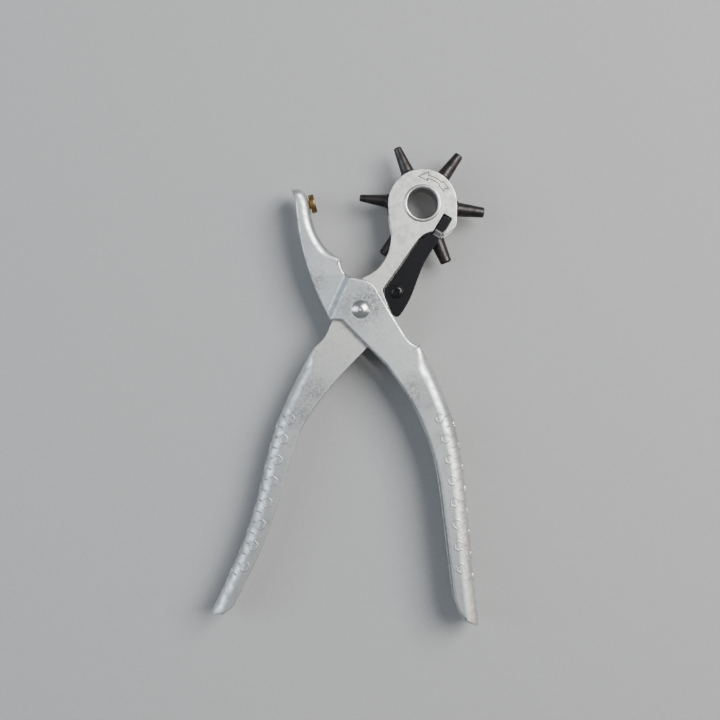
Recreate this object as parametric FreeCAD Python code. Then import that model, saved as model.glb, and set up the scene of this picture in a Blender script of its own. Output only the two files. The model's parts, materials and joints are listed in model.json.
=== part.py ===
import FreeCAD, Part
import math
import os
from FreeCAD import Vector

# Rotary hole punch: two pressed-steel levers crossing at a rivet.  The turret lever carries a
# drum with six punch tubes on a hollow axle, the anvil lever carries a brass anvil.
# Millimetres.  The tool lies flat, +Z is up.  The origin is on the turret's axis, at the tool's
# mid-plane, and both levers are symmetric about it.  +Y runs from the handles to the turret.

# ---- driving dimensions -------------------------------------------------------------------
SHEET = 1.8                 # wall of both pressed levers
FORK_GAP = 9.8              # between the inner faces of the turret lever's plates
WASHER = 0.5                # pivot washers between the levers
WASHER_R = 8.0
PIVOT_PLAY = 0.05           # each side of each pivot washer
RUNNING = 0.05              # radial clearance of turning fits
SEAT = 0.02                 # radial clearance of fixed pins in their holes
RIVET_R = 3.0
RIVET_HEAD_RIM = 1.0        # of the head, beyond the shank
RIVET_HEAD_RISE = 1.6
PIVOT_SLEEVE_WALL = 1.35
TURRET_LEVER_BEND = 5.0     # outside radius between web and flanges
ANVIL_LEVER_BEND = 5.6
JAW_BEND = 3.6
HANDLE_LENGTH = 88.4        # from the first grip marks to the tip of the right handle
HANDLE_TOP = -95.0
DRAWN_LENGTH = 88.4         # handle length that the outlines below are drawn at

AXLE_BORE_R = 6.5           # hollow axle, open right through
AXLE_WALL = 0.6
AXLE_RIM_WIDTH = 1.1        # flared rim that holds the axle in the plates, beyond its wall
AXLE_RIM_RISE = 0.8
SLEEVE_WALL = 0.8
HEAD_R = 14.9               # round head of the turret lever's plates

DRUM_R = 15.1
DRUM_SIDE_PLAY = 0.2        # between the drum and each plate
PUNCH_COUNT = 6
FIRST_PUNCH_ANGLE = 173.2   # degrees from +X, the punch that faces the anvil
CLOSING_ANGLE = 22.5        # turn of the anvil lever that brings the anvil to the punch
CLOSED_GAP = 0.16           # left between the punch and the anvil's face then
SMALLEST_HOLE = 2.0         # bore of the first punch
HOLE_STEP = 0.5
PUNCH_EDGE_WALL = 0.45      # wall of a tube at its cutting edge
PUNCH_BASE_R = 2.75         # outside of the smallest tube where it leaves the drum
PUNCH_BASE_STEP = 0.13
PUNCH_SHANK_WALL = 0.2      # of the widest tube, where it sits in the drum
PUNCH_COLLAR_RISE = 0.5
PUNCH_COLLAR_RIM = 0.3
EDGE_BEVEL = 0.45
GROOVE_R = 1.5              # index grooves across the drum's front face, between the punches
GROOVE_DEPTH = 0.6
GROOVE_INNER_R = 9.6

SPRING_SHEET = 0.8          # index leaf spring
SLOT_WIDTH = 4.3            # slot in the front plate for the spring's nose
SLOT_ANGLE = 59.0
NOSE_PLAY = 0.3             # between the spring's nose and the slot
NOSE_ROOT = 10.3            # from the slot's end back to where the nose leaves the leaf
SPRING_LIFT = 0.15          # nose above the drum beside the groove
LEAF_LIFT = 0.9             # leaf above the drum
ACTIVE_GROOVE = 3           # the groove that the nose rests in
SCREW_R = 1.5
SCREW_HEAD_R = 2.85
SCREW_HEAD_HEIGHT = 1.7
POST_R = 3.2

ANVIL_R = 4.1
ANVIL_THICK = 2.4
ANVIL_STEM_R = 1.9
ANVIL_FACE_ANGLE = 14.7     # direction that the anvil faces, degrees from +X
ANVIL_STANDOFF = 0.6        # shank showing between the jaw and the disc

COIL_WIRE_R = 0.8
COIL_TURNS = 4
COIL_CLEARANCE = 0.25
LEG_INSET = 2.2             # middle of a leg, in from the inner face of a turret lever plate
COIL_SKIN = 0.1             # the plain ring that stands for the coil is this much fuller than the wire

# ---- heights, worked out from the stack at the pivot ---------------------------------------
FORK_HALF = FORK_GAP / 2 + SHEET
STRADDLE_HALF = FORK_HALF + WASHER + 2 * PIVOT_PLAY
ANVIL_HALF = STRADDLE_HALF + SHEET
JAW_HALF = FORK_HALF
DRUM_HALF = FORK_GAP / 2 - DRUM_SIDE_PLAY
THROUGH = 30.0              # past both faces of the tool
FAR = 300.0                 # larger than the tool

# ---- radii that follow from what passes through ---------------------------------------------
RIVET_HEAD_R = RIVET_R + RIVET_HEAD_RIM
PIVOT_SLEEVE_R = RIVET_R + RUNNING + PIVOT_SLEEVE_WALL
AXLE_RIM_R = AXLE_BORE_R + AXLE_WALL + AXLE_RIM_WIDTH
PUNCH_SHANK_R = (SMALLEST_HOLE + HOLE_STEP * (PUNCH_COUNT - 1)) / 2 + PUNCH_SHANK_WALL

# ---- places in plan -------------------------------------------------------------------------
PIVOT = Vector(-26.7, -46.0, 0)
SCREW_AT = Vector(-11.1, -38.2, 0)
SLOT_END = Vector(11.0, -5.6, 0)
ANVIL_FACE_AT = Vector(-46.6, 0.9, 0)
RAMP_START = Vector(-33.7, -30.4, 0)
RAMP_END = Vector(-41.4, -47.5, 0)
RAMP_WIDTH = 3.3


def at(x, y):
    return Vector(x, y, 0)


def grip(x, y):
    """Point of a handle's outline, drawn for DRAWN_LENGTH and carried down to HANDLE_LENGTH."""
    if y < HANDLE_TOP:
        y = HANDLE_TOP + (y - HANDLE_TOP) * HANDLE_LENGTH / DRAWN_LENGTH
    return Vector(x, y, 0)


def polar(radius, degrees):
    """Point in plan at a radius and an angle from +X about the turret axis."""
    return Vector(radius * math.cos(math.radians(degrees)), radius * math.sin(math.radians(degrees)), 0)


def spline(points):
    """Smooth edge through the points."""
    curve = Part.BSplineCurve()
    curve.interpolate(points)
    return curve.toShape()


def lines(points):
    return [Part.LineSegment(a, b).toShape() for a, b in zip(points, points[1:])]


def slab(edges, half):
    """Solid of a closed outline, reaching the same height above and below the mid-plane."""
    face = Part.Face(Part.Wire(Part.__sortEdges__(edges)))
    face.translate(Vector(0, 0, -half))
    return face.extrude(Vector(0, 0, 2 * half))


def cylinder(radius, z_low, z_high, centre):
    return Part.makeCylinder(radius, z_high - z_low, Vector(centre.x, centre.y, z_low))


def shifted(points, distance):
    """The points moved to the left of their own direction of travel."""
    moved = []
    for i, point in enumerate(points):
        before = points[max(i - 1, 0)]
        after = points[min(i + 1, len(points) - 1)]
        along = (after - before).normalize()
        moved.append(point + Vector(-along.y, along.x, 0) * distance)
    return moved


def beyond(points, length):
    """End point of the run, carried on in its last direction."""
    along = (points[-1] - points[-2]).normalize()
    return points[-1] + along * length


def edges_along(solid, points, half):
    """The upper and lower edges of a slab that follow a run of points."""
    found = []
    ends = (points[0], points[-1])
    for edge in solid.Edges:
        if edge.Length < 5:
            continue
        marks = [Vector(v.Point.x, v.Point.y, 0) for v in edge.Vertexes]
        level = abs(abs(edge.Vertexes[0].Point.z) - half) < 0.01
        flat = abs(edge.Vertexes[0].Point.z - edge.Vertexes[-1].Point.z) < 0.01
        meets = all(min(mark.distanceToPoint(end) for end in ends) < 0.01 for mark in marks)
        if level and flat and meets and len(marks) == 2:
            found.append(edge)
    return found


def stepped_space(low, high):
    """Space that is 2*low thick on the jaw's side of the joggle and 2*high thick on the other."""
    along = (RAMP_END - RAMP_START).normalize()
    across = Vector(-along.y, along.x, 0)
    up = Vector(0, 0, 1)
    start = RAMP_START - along * FAR

    def corner(u, z):
        return start + across * u + up * z
    half = [corner(-FAR, low), corner(0, low), corner(RAMP_WIDTH, high), corner(FAR, high)]
    other = [corner(FAR, -high), corner(RAMP_WIDTH, -high), corner(0, -low), corner(-FAR, -low)]
    profile = Part.Face(Part.makePolygon(half + other + half[:1]))
    return profile.extrude(along * 2 * FAR)


# ---- turret lever ---------------------------------------------------------------------------
def turret_web_line():
    """Back of the left handle, from the shoulder down to the tip."""
    return [grip(-48.5, -63.4), grip(-55.8, -78.3), grip(-62.7, -94.1), grip(-67.4, -109.8),
            grip(-71.8, -128.2), grip(-78.8, -149.2), grip(-85.9, -165.0), grip(-92.4, -178.4)]


def turret_lever_outline():
    web = turret_web_line()
    inner = [grip(-79.4, -169.6), grip(-73.6, -158.1), grip(-67.2, -142.6), grip(-62.0, -127.1),
             grip(-57.7, -111.6), grip(-53.6, -100.0), grip(-46.7, -88.4), grip(-38.6, -78.1), at(-24.0, -62.6)]
    end = [web[-1], grip(-86.6, -177.6), grip(-82.0, -174.4), inner[0]]
    crotch = [inner[-1], at(-17.5, -56.0), at(-13.6, -51.4), at(-13.9, -47.6), at(-17.4, -37.4)]
    neck_right = [at(-3.6, -17.9), at(-1.6, -15.4), at(0.9, -13.4), at(4.8, -12.2)]
    chin = [neck_right[-1], at(8.0, -15.6), at(13.0, -11.6)]
    cheek = [at(13.0, -11.6), at(14.3, -10.1), at(HEAD_R, -8.0)]
    neck_left = [at(-HEAD_R, 0), at(-14.3, -7.0), at(-13.5, -13.5), at(-14.1, -18.8), at(-16.2, -24.2),
                 at(-20.3, -29.1), at(-26.2, -32.4)]
    hidden = [neck_left[-1], at(-29.6, -35.4), at(-33.0, -39.4), at(-36.2, -45.6), at(-39.3, -51.4),
              at(-42.1, -57.6), web[0]]
    head = Part.Arc(at(HEAD_R, 0), at(0, HEAD_R), at(-HEAD_R, 0)).toShape()
    return ([spline(web), spline(end), spline(inner)] + lines(crotch) + lines([crotch[-1], neck_right[0]])
            + [spline(neck_right)] + lines(chin) + [Part.Arc(*cheek).toShape()]
            + lines([cheek[-1], at(HEAD_R, 0)]) + [head, spline(neck_left), spline(hidden)])


def turret_lever_hollow():
    """Everything between the two flanges, up to the inside of the web."""
    web = turret_web_line()
    inside = shifted(web, SHEET)
    inside.append(beyond(inside, 8))
    outside_start = shifted(web, -12)[0]
    rim = [inside[-1], at(FAR, -FAR), at(FAR, FAR), at(-FAR, FAR), outside_start, inside[0]]
    hollow = slab([spline(inside)] + lines(rim), FORK_GAP / 2)
    return hollow.makeFillet(TURRET_LEVER_BEND - SHEET, edges_along(hollow, inside, FORK_GAP / 2))


def spring_ear():
    """Ear of the rear plate that carries the index spring's post."""
    foot = -FORK_HALF
    pad = cylinder(POST_R + 1.2, foot, foot + SHEET, SCREW_AT)
    corners = [at(-19.0, -39.5), at(-8.5, -25.0), at(-6.8, -36.5), at(-9.5, -43.0), at(-15.5, -45.5), at(-19.0, -39.5)]
    web = Part.Face(Part.makePolygon(corners))
    web.translate(Vector(0, 0, foot))
    return pad.fuse(web.extrude(Vector(0, 0, SHEET)))


def nose_slot():
    """Slot that opens the front plate from its end towards the screw."""
    length = 30.0
    slot = Part.makeBox(length, SLOT_WIDTH, 3 * SHEET, Vector(-length, -SLOT_WIDTH / 2, 0))
    slot.rotate(Vector(0, 0, 0), Vector(0, 0, 1), SLOT_ANGLE)
    slot.translate(SLOT_END + Vector(0, 0, FORK_GAP / 2 - SHEET))
    reach = Part.makeBox(FAR, FAR, FAR, Vector(4.0, -FAR / 2, 0))
    return slot.common(reach)


def turret_lever():
    solid = slab(turret_lever_outline(), FORK_HALF)
    solid = solid.makeFillet(TURRET_LEVER_BEND, edges_along(solid, turret_web_line(), FORK_HALF))
    solid = solid.cut(turret_lever_hollow())
    solid = solid.fuse(spring_ear()).cut(nose_slot())
    bores = cylinder(RIVET_R + RUNNING, -THROUGH, THROUGH, PIVOT)
    bores = bores.fuse(cylinder(AXLE_BORE_R + AXLE_WALL + SEAT, -THROUGH, THROUGH, at(0, 0)))
    return solid.cut(bores).removeSplitter()


# ---- anvil lever ----------------------------------------------------------------------------
def anvil_web_line():
    """Back of the right handle, from the pivot plates down to the tip."""
    return [grip(-1.0, -61.9), grip(4.6, -72.2), grip(10.4, -85.4), grip(14.6, -98.5), grip(17.3, -112.8),
            grip(19.2, -129.1), grip(21.5, -155.4), grip(24.7, -183.4)]


def jaw_web_line():
    """Face of the jaw, from the crotch up and over the nose."""
    return [at(-35.7, -24.0), at(-41.5, -19.4), at(-45.7, -13.2), at(-48.4, -4.8), at(-49.6, 1.6),
            at(-52.4, 6.0), at(-57.2, 6.6)]


def anvil_lever_outline():
    web = anvil_web_line()
    jaw = jaw_web_line()
    back = [jaw[-1], at(-55.0, 0.3), at(-53.3, -13.3), at(-50.6, -25.0), at(-46.4, -37.0), at(-39.9, -50.6)]
    lower = [back[-1], at(-35.0, -50.7), grip(-15.3, -70.4)]
    inner = [lower[-1], grip(-9.9, -78.1), grip(-3.4, -88.4), grip(1.3, -98.7), grip(6.2, -114.2),
             grip(8.8, -129.7), grip(11.3, -150.3), grip(13.8, -171.0)]
    end = [inner[-1], grip(15.8, -176.6), grip(20.0, -181.3), web[-1]]
    crotch = [jaw[0], at(-34.9, -28.0), at(-32.0, -31.4), at(-26.0, -32.9), at(-21.6, -34.9), at(-19.0, -38.4)]
    shoulder = [crotch[-1], at(-12.8, -48.8), at(-8.7, -55.4), at(-4.4, -60.6), web[0]]
    return ([spline(web), spline(jaw), spline(back), spline(inner), spline(end)]
            + lines(lower) + [spline(crotch), spline(shoulder)])


def jaw_hollow():
    """Inside of the jaw's channel, closed at the face and the nose."""
    inside = shifted(jaw_web_line(), SHEET)
    start = shifted(jaw_web_line(), -12)[0]
    inside.append(beyond(inside, 8))
    rim = [inside[-1], at(-FAR, inside[-1].y), at(-FAR, -40), at(-30, -40), start, inside[0]]
    return slab([spline(inside)] + lines(rim), STRADDLE_HALF)


def handle_hollow():
    """Inside of the right handle and the whole of the pivot region."""
    web = anvil_web_line()
    inside = shifted(web, -SHEET)
    inside.append(beyond(inside, 8))
    outside_start = shifted(web, 12)[0]
    crotch_side = shifted(jaw_web_line(), -12)[0]
    low = shifted(jaw_web_line(), SHEET)[0]
    rim = [inside[-1], at(-FAR, -FAR), at(-FAR, low.y - 6), low, crotch_side, at(60, 20), outside_start, inside[0]]
    hollow = slab([spline(inside)] + lines(rim), STRADDLE_HALF)
    return hollow.makeFillet(ANVIL_LEVER_BEND - SHEET, edges_along(hollow, inside, STRADDLE_HALF))


def anvil_lever():
    solid = slab(anvil_lever_outline(), ANVIL_HALF)
    solid = solid.makeFillet(ANVIL_LEVER_BEND, edges_along(solid, anvil_web_line(), ANVIL_HALF))
    solid = solid.common(stepped_space(JAW_HALF, ANVIL_HALF))
    solid = solid.makeFillet(JAW_BEND, edges_along(solid, jaw_web_line(), JAW_HALF))
    hollow = handle_hollow().fuse(jaw_hollow()).common(stepped_space(JAW_HALF - SHEET, STRADDLE_HALF))
    solid = solid.cut(hollow)
    solid = solid.cut(cylinder(RIVET_R + SEAT, -THROUGH, THROUGH, PIVOT))
    solid = solid.cut(anvil_stem_space())
    return solid.removeSplitter()


# ---- anvil ------------------------------------------------------------------------------------
def anvil_frame(shape):
    """Turns a shape built along +Z so that it faces the way the anvil faces, face at the origin."""
    shape.rotate(Vector(0, 0, 0), Vector(0, 1, 0), 90)
    shape.rotate(Vector(0, 0, 0), Vector(0, 0, 1), ANVIL_FACE_ANGLE)
    shape.translate(ANVIL_FACE_AT)
    return shape


def anvil_stem_space():
    stem = Part.makeCylinder(ANVIL_STEM_R + SEAT, 10, Vector(0, 0, -10))
    return anvil_frame(stem)


def anvil():
    """Brass disc with a shank through the jaw, spread at its inner end."""
    disc = Part.makeCylinder(ANVIL_R, ANVIL_THICK, Vector(0, 0, -ANVIL_THICK))
    disc = disc.makeFillet(0.35, [e for e in disc.Edges if len(e.Vertexes) == 1])
    stem_length = ANVIL_THICK + ANVIL_STANDOFF + SHEET
    stem = Part.makeCylinder(ANVIL_STEM_R, stem_length + 0.7, Vector(0, 0, -stem_length - 0.7))
    return anvil_frame(disc.fuse(stem)).removeSplitter()


# ---- pivot --------------------------------------------------------------------------------------
def dome(radius, rise, base_z, upward, centre):
    """Low dome of a rivet head, a slice of a ball on a flat base."""
    ball_r = (radius ** 2 + rise ** 2) / (2 * rise)
    side = 1 if upward else -1
    ball = Part.makeSphere(ball_r, Vector(centre.x, centre.y, base_z + side * (rise - ball_r)))
    z_low = base_z if upward else base_z - rise
    return ball.common(cylinder(radius + 1, z_low, z_low + rise, centre))


def pivot_rivet():
    top = ANVIL_HALF
    bottom = -ANVIL_HALF
    shaft = cylinder(RIVET_R, bottom, top, PIVOT)
    heads = dome(RIVET_HEAD_R, RIVET_HEAD_RISE, top, True, PIVOT)
    heads = heads.fuse(dome(RIVET_HEAD_R, RIVET_HEAD_RISE, bottom, False, PIVOT))
    return shaft.fuse(heads).removeSplitter()


def ring(outer, inner, z_low, z_high, centre):
    return cylinder(outer, z_low, z_high, centre).cut(cylinder(inner, z_low - 1, z_high + 1, centre))


def pivot_washer(upper):
    low = FORK_HALF + PIVOT_PLAY
    if not upper:
        low = -FORK_HALF - PIVOT_PLAY - WASHER
    return ring(WASHER_R, RIVET_R + SEAT, low, low + WASHER, PIVOT)


def pivot_sleeve():
    return ring(PIVOT_SLEEVE_R, RIVET_R + RUNNING, -FORK_GAP / 2, FORK_GAP / 2, PIVOT)


def return_spring():
    """Torsion spring: coil round the pivot sleeve and a leg along the web of each handle."""
    coil_r = PIVOT_SLEEVE_R + COIL_CLEARANCE + COIL_WIRE_R + COIL_SKIN
    half = (COIL_WIRE_R + COIL_SKIN) * COIL_TURNS
    coil = ring(coil_r + COIL_WIRE_R + COIL_SKIN, coil_r - COIL_WIRE_R - COIL_SKIN, -half, half, PIVOT)
    level = FORK_GAP / 2 - LEG_INSET
    legs = []
    for target, z, turn in ((grip(-57.4, -89.0), -level, 1), (grip(6.6, -83.0), level, -1)):
        along = (target - PIVOT).normalize()
        start = PIVOT + Vector(-along.y, along.x, 0) * coil_r * turn + Vector(0, 0, z)
        reach = target + Vector(0, 0, z) - start
        legs.append(Part.makeCylinder(COIL_WIRE_R, reach.Length, start, reach))
    return coil.fuse(legs).removeSplitter()


# ---- turret ---------------------------------------------------------------------------------------
def punch_angle(index):
    return FIRST_PUNCH_ANGLE - index * 360.0 / PUNCH_COUNT


def groove_angle(index):
    """Direction of the index groove that follows a punch, clockwise from it."""
    return punch_angle(index) - 180.0 / PUNCH_COUNT


def hole_radius(index):
    return (SMALLEST_HOLE + HOLE_STEP * index) / 2


def punch_reach():
    """From the turret's axis to a cutting edge, CLOSED_GAP short of the closed anvil."""
    turn = math.radians(-CLOSING_ANGLE)
    arm = ANVIL_FACE_AT - PIVOT
    swung = Vector(arm.x * math.cos(turn) - arm.y * math.sin(turn), arm.x * math.sin(turn) + arm.y * math.cos(turn), 0)
    closed = PIVOT + swung
    facing = polar(1, ANVIL_FACE_ANGLE - CLOSING_ANGLE)
    return (closed.dot(facing) + CLOSED_GAP) / polar(1, FIRST_PUNCH_ANGLE).dot(facing)


def radial(shape, degrees):
    """Turns a shape built along +Z to lie along a radius of the turret, at mid height."""
    shape.rotate(Vector(0, 0, 0), Vector(0, 1, 0), 90)
    shape.rotate(Vector(0, 0, 0), Vector(0, 0, 1), degrees)
    return shape


def sleeve_outer():
    return AXLE_BORE_R + AXLE_WALL + SEAT + SLEEVE_WALL


def turret_axle():
    """Hollow rivet through both plates, flared at both ends, with a window for the cut slugs."""
    top = FORK_HALF
    bottom = -FORK_HALF
    tube = cylinder(AXLE_BORE_R + AXLE_WALL, bottom - AXLE_RIM_RISE, top + AXLE_RIM_RISE, at(0, 0))
    for low in (top, bottom - AXLE_RIM_RISE):
        tube = tube.fuse(cylinder(AXLE_RIM_R, low, low + AXLE_RIM_RISE, at(0, 0)))
    tube = tube.removeSplitter()
    tips = [e for e in tube.Edges if abs(e.BoundBox.XLength - 2 * AXLE_RIM_R) < 0.01
            and abs(abs(e.BoundBox.Center.z) - FORK_HALF - AXLE_RIM_RISE) < 0.01]
    tube = tube.makeFillet(0.55, tips)
    return tube.cut(cylinder(AXLE_BORE_R, -THROUGH, THROUGH, at(0, 0))).cut(slug_window()).removeSplitter()


def slug_window():
    largest = hole_radius(PUNCH_COUNT - 1)
    window = Part.makeCylinder(largest + 0.2, AXLE_BORE_R + 4)
    return radial(window, punch_angle(0))


def turret_sleeve():
    """Spacer on the axle: it keeps the plates apart and the drum turns on it."""
    sleeve = ring(sleeve_outer(), AXLE_BORE_R + AXLE_WALL + SEAT, -FORK_GAP / 2, FORK_GAP / 2, at(0, 0))
    return sleeve.cut(slug_window())


def turret_drum():
    half = DRUM_HALF
    drum = cylinder(DRUM_R, -half, half, at(0, 0))
    drum = drum.makeFillet(0.5, [e for e in drum.Edges if len(e.Vertexes) == 1])
    drum = drum.cut(cylinder(sleeve_outer() + RUNNING, -THROUGH, THROUGH, at(0, 0)))
    for index in range(PUNCH_COUNT):
        angle = punch_angle(index)
        seat = Part.makeCylinder(PUNCH_SHANK_R + SEAT, DRUM_R + 2)
        groove = radial(Part.makeCylinder(GROOVE_R, DRUM_R, Vector(0, 0, GROOVE_INNER_R)), groove_angle(index))
        groove.translate(Vector(0, 0, half + GROOVE_R - GROOVE_DEPTH))
        drum = drum.cut(radial(seat, angle)).cut(groove)
    return drum


def punch_tube(index):
    """Tapered tube with a threaded shank in the drum, a small collar and a bevelled edge."""
    bore = hole_radius(index)
    base = PUNCH_BASE_R + PUNCH_BASE_STEP * index
    edge = bore + PUNCH_EDGE_WALL
    shank_start = sleeve_outer() + RUNNING + 0.6
    collar = DRUM_R + PUNCH_COLLAR_RISE
    rim = base + PUNCH_COLLAR_RIM
    reach = punch_reach()
    profile = [Vector(bore, 0, shank_start), Vector(PUNCH_SHANK_R, 0, shank_start), Vector(PUNCH_SHANK_R, 0, DRUM_R),
               Vector(rim, 0, DRUM_R), Vector(rim, 0, collar), Vector(base, 0, collar),
               Vector(edge, 0, reach - EDGE_BEVEL), Vector(bore + 0.15, 0, reach), Vector(bore, 0, reach)]
    tube = Part.Face(Part.makePolygon(profile + profile[:1])).revolve(Vector(0, 0, 0), Vector(0, 0, 1), 360)
    return radial(tube, punch_angle(index))


# ---- index spring ---------------------------------------------------------------------------------
def leaf_level():
    """Underside of the index spring's leaf."""
    return DRUM_HALF + LEAF_LIFT


def index_spring():
    """Leaf level with the front plate; its nose bends down into the slot and dips into a groove."""
    leaf = leaf_level()
    over = DRUM_HALF + SPRING_LIFT
    dip = DRUM_HALF - GROOVE_DEPTH + 0.1
    along = polar(1, SLOT_ANGLE)
    side = Vector(-along.y, along.x, 0)
    half = SLOT_WIDTH / 2 - NOSE_PLAY
    root = SLOT_END - along * NOSE_ROOT
    length = NOSE_ROOT - NOSE_PLAY
    outline = [at(-10.1, -49.0), at(-7.4, -45.0), at(-5.2, -40.9), at(-3.4, -36.5), at(0.3, -26.9), at(4.4, -19.8),
               root - side * half - along * 1.5, root - side * half, root + side * half, at(3.0, -13.8), at(1.2, -14.2),
               at(-1.1, -16.2), at(-3.2, -18.7), at(-16.8, -37.9), at(-13.5, -47.6), at(-12.0, -49.4)]
    blade = Part.Face(Part.makePolygon(outline + outline[:1]))
    blade.translate(Vector(0, 0, leaf))
    blade = blade.extrude(Vector(0, 0, SPRING_SHEET))
    spoke = polar(1, groove_angle(ACTIVE_GROOVE))
    groove = -root.cross(spoke).z / along.cross(spoke).z
    profile = [(-1.0, leaf), (0.6, leaf), (2.0, over), (groove - 1.2, over), (groove, dip), (length, over + 0.2)]
    lower = [root + along * u + Vector(0, 0, z) for u, z in profile]
    upper = [p + Vector(0, 0, SPRING_SHEET) for p in reversed(lower)]
    strip = Part.Face(Part.makePolygon(lower + upper + lower[:1]))
    strip.translate(side * -half)
    strip = strip.extrude(side * 2 * half)
    solid = blade.fuse(strip).cut(cylinder(SCREW_R + 0.1, -THROUGH, THROUGH, SCREW_AT))
    return solid.removeSplitter()


def spring_post():
    low = -FORK_GAP / 2
    top = leaf_level()
    return ring(POST_R, SCREW_R + SEAT, low, top, SCREW_AT)


def index_screw():
    """Pan-head screw with a cross recess."""
    seat = leaf_level() + SPRING_SHEET
    shank = cylinder(SCREW_R, -2, seat, SCREW_AT)
    head = cylinder(SCREW_HEAD_R, seat, seat + SCREW_HEAD_HEIGHT, SCREW_AT)
    rim = [e for e in head.Edges if abs(e.BoundBox.Center.z - seat - SCREW_HEAD_HEIGHT) < 0.01]
    head = head.makeFillet(0.8, rim)
    recess = Part.makeBox(3.2, 0.7, 1.1, Vector(-1.6, -0.35, 0))
    other = Part.makeBox(0.7, 3.2, 1.1, Vector(-0.35, -1.6, 0))
    cross = recess.fuse(other)
    cross.translate(SCREW_AT + Vector(0, 0, seat + SCREW_HEAD_HEIGHT - 1.0))
    return shank.fuse(head).cut(cross).removeSplitter()


def all_parts():
    parts = {
        "turret_lever": turret_lever(),
        "anvil_lever": anvil_lever(),
        "anvil": anvil(),
        "pivot_rivet": pivot_rivet(),
        "pivot_washer_front": pivot_washer(True),
        "pivot_washer_rear": pivot_washer(False),
        "pivot_sleeve": pivot_sleeve(),
        "return_spring": return_spring(),
        "turret_axle": turret_axle(),
        "turret_sleeve": turret_sleeve(),
        "turret_drum": turret_drum(),
        "index_spring": index_spring(),
        "spring_post": spring_post(),
        "index_screw": index_screw(),
    }
    for index in range(PUNCH_COUNT):
        parts["punch_tube_%d" % (index + 1)] = punch_tube(index)
    return parts


os.makedirs("parts", exist_ok=True)
for name, shape in all_parts().items():
    shape.exportStep("parts/%s.step" % name)
    print(name, shape.ShapeType, len(shape.Solids), "%.1f mm3" % shape.Volume, shape.isValid())
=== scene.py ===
import json
import logging
import math
from dataclasses import dataclass
from enum import Enum
from typing import Sequence

import bmesh
import bpy
import numpy as np
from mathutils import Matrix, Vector
from mathutils.geometry import tessellate_polygon


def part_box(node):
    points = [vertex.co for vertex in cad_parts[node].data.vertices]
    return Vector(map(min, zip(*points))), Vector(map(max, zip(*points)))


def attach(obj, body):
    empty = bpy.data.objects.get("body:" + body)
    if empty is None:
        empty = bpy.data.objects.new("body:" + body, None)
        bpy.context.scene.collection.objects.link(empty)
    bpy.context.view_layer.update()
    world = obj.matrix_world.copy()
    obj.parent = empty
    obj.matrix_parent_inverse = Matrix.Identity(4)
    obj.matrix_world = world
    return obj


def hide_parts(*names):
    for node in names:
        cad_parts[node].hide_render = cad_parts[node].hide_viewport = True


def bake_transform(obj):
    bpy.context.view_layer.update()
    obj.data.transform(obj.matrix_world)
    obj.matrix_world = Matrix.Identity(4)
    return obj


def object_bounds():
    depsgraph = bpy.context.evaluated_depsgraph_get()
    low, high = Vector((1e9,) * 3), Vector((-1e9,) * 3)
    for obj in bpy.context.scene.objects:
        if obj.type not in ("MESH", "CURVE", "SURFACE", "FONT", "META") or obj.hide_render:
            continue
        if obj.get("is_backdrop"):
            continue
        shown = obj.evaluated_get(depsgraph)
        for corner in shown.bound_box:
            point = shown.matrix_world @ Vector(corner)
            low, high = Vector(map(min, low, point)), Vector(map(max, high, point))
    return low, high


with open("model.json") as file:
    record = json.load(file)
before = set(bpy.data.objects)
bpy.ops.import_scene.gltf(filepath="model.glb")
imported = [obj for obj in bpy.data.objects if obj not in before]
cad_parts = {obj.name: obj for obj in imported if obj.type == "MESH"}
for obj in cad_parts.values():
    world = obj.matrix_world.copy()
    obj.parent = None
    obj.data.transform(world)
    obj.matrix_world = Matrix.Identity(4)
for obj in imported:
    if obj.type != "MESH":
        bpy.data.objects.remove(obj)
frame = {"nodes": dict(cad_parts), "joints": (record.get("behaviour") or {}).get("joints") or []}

# Looks of a rotary hole punch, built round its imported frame.
#
# Lengths in the classes are millimetres in the frame's own axes; they become metres where a mesh
# is made.  A plan outline runs counter-clockwise seen from +Z, so its outward side is on the right.

Points = Sequence[Sequence[float]]
Place = Sequence[float]
Mesh = tuple[np.ndarray, list]
Rgb = tuple[float, float, float]
Socket = bpy.types.NodeSocket

LOG = logging.getLogger("rotary_hole_punch")
MM = 0.001                   # metres in a millimetre
BEYOND = 1000.0              # longer than any piece
TINY = 1e-12                 # keeps a division away from zero
ORIGIN = (0, 0, 0)           # the turret's centre
UPRIGHT = (0, 0, 1)
JOIN_INSET = 0.35            # share of its roll that a lip keeps right beside a join
BEND_STEPS = 12              # samples round a channel's bend
PUNCH_ANGLE = 173.2          # direction of the working punch, in degrees from +X
SHANK_RADIUS = 2.45          # part of a punch tube that sits in the drum
SLOT_ANGLE = 59.0            # direction of the front plate's slot
SLOT_END = (11.0, -5.6)      # middle of the slot's closed end


class Edge(Enum):
    """What a stretch of a plate's outline is."""

    LIP = 1.0     # a free edge, rolled over by the press
    JOIN = 0.0    # a plain wall that meets the bend of a channel


class Side(Enum):
    """Which face of the tool a piece is on."""

    FRONT = 1.0
    REAR = -1.0


# ---- curves ----------------------------------------------------------------------------------

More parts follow.
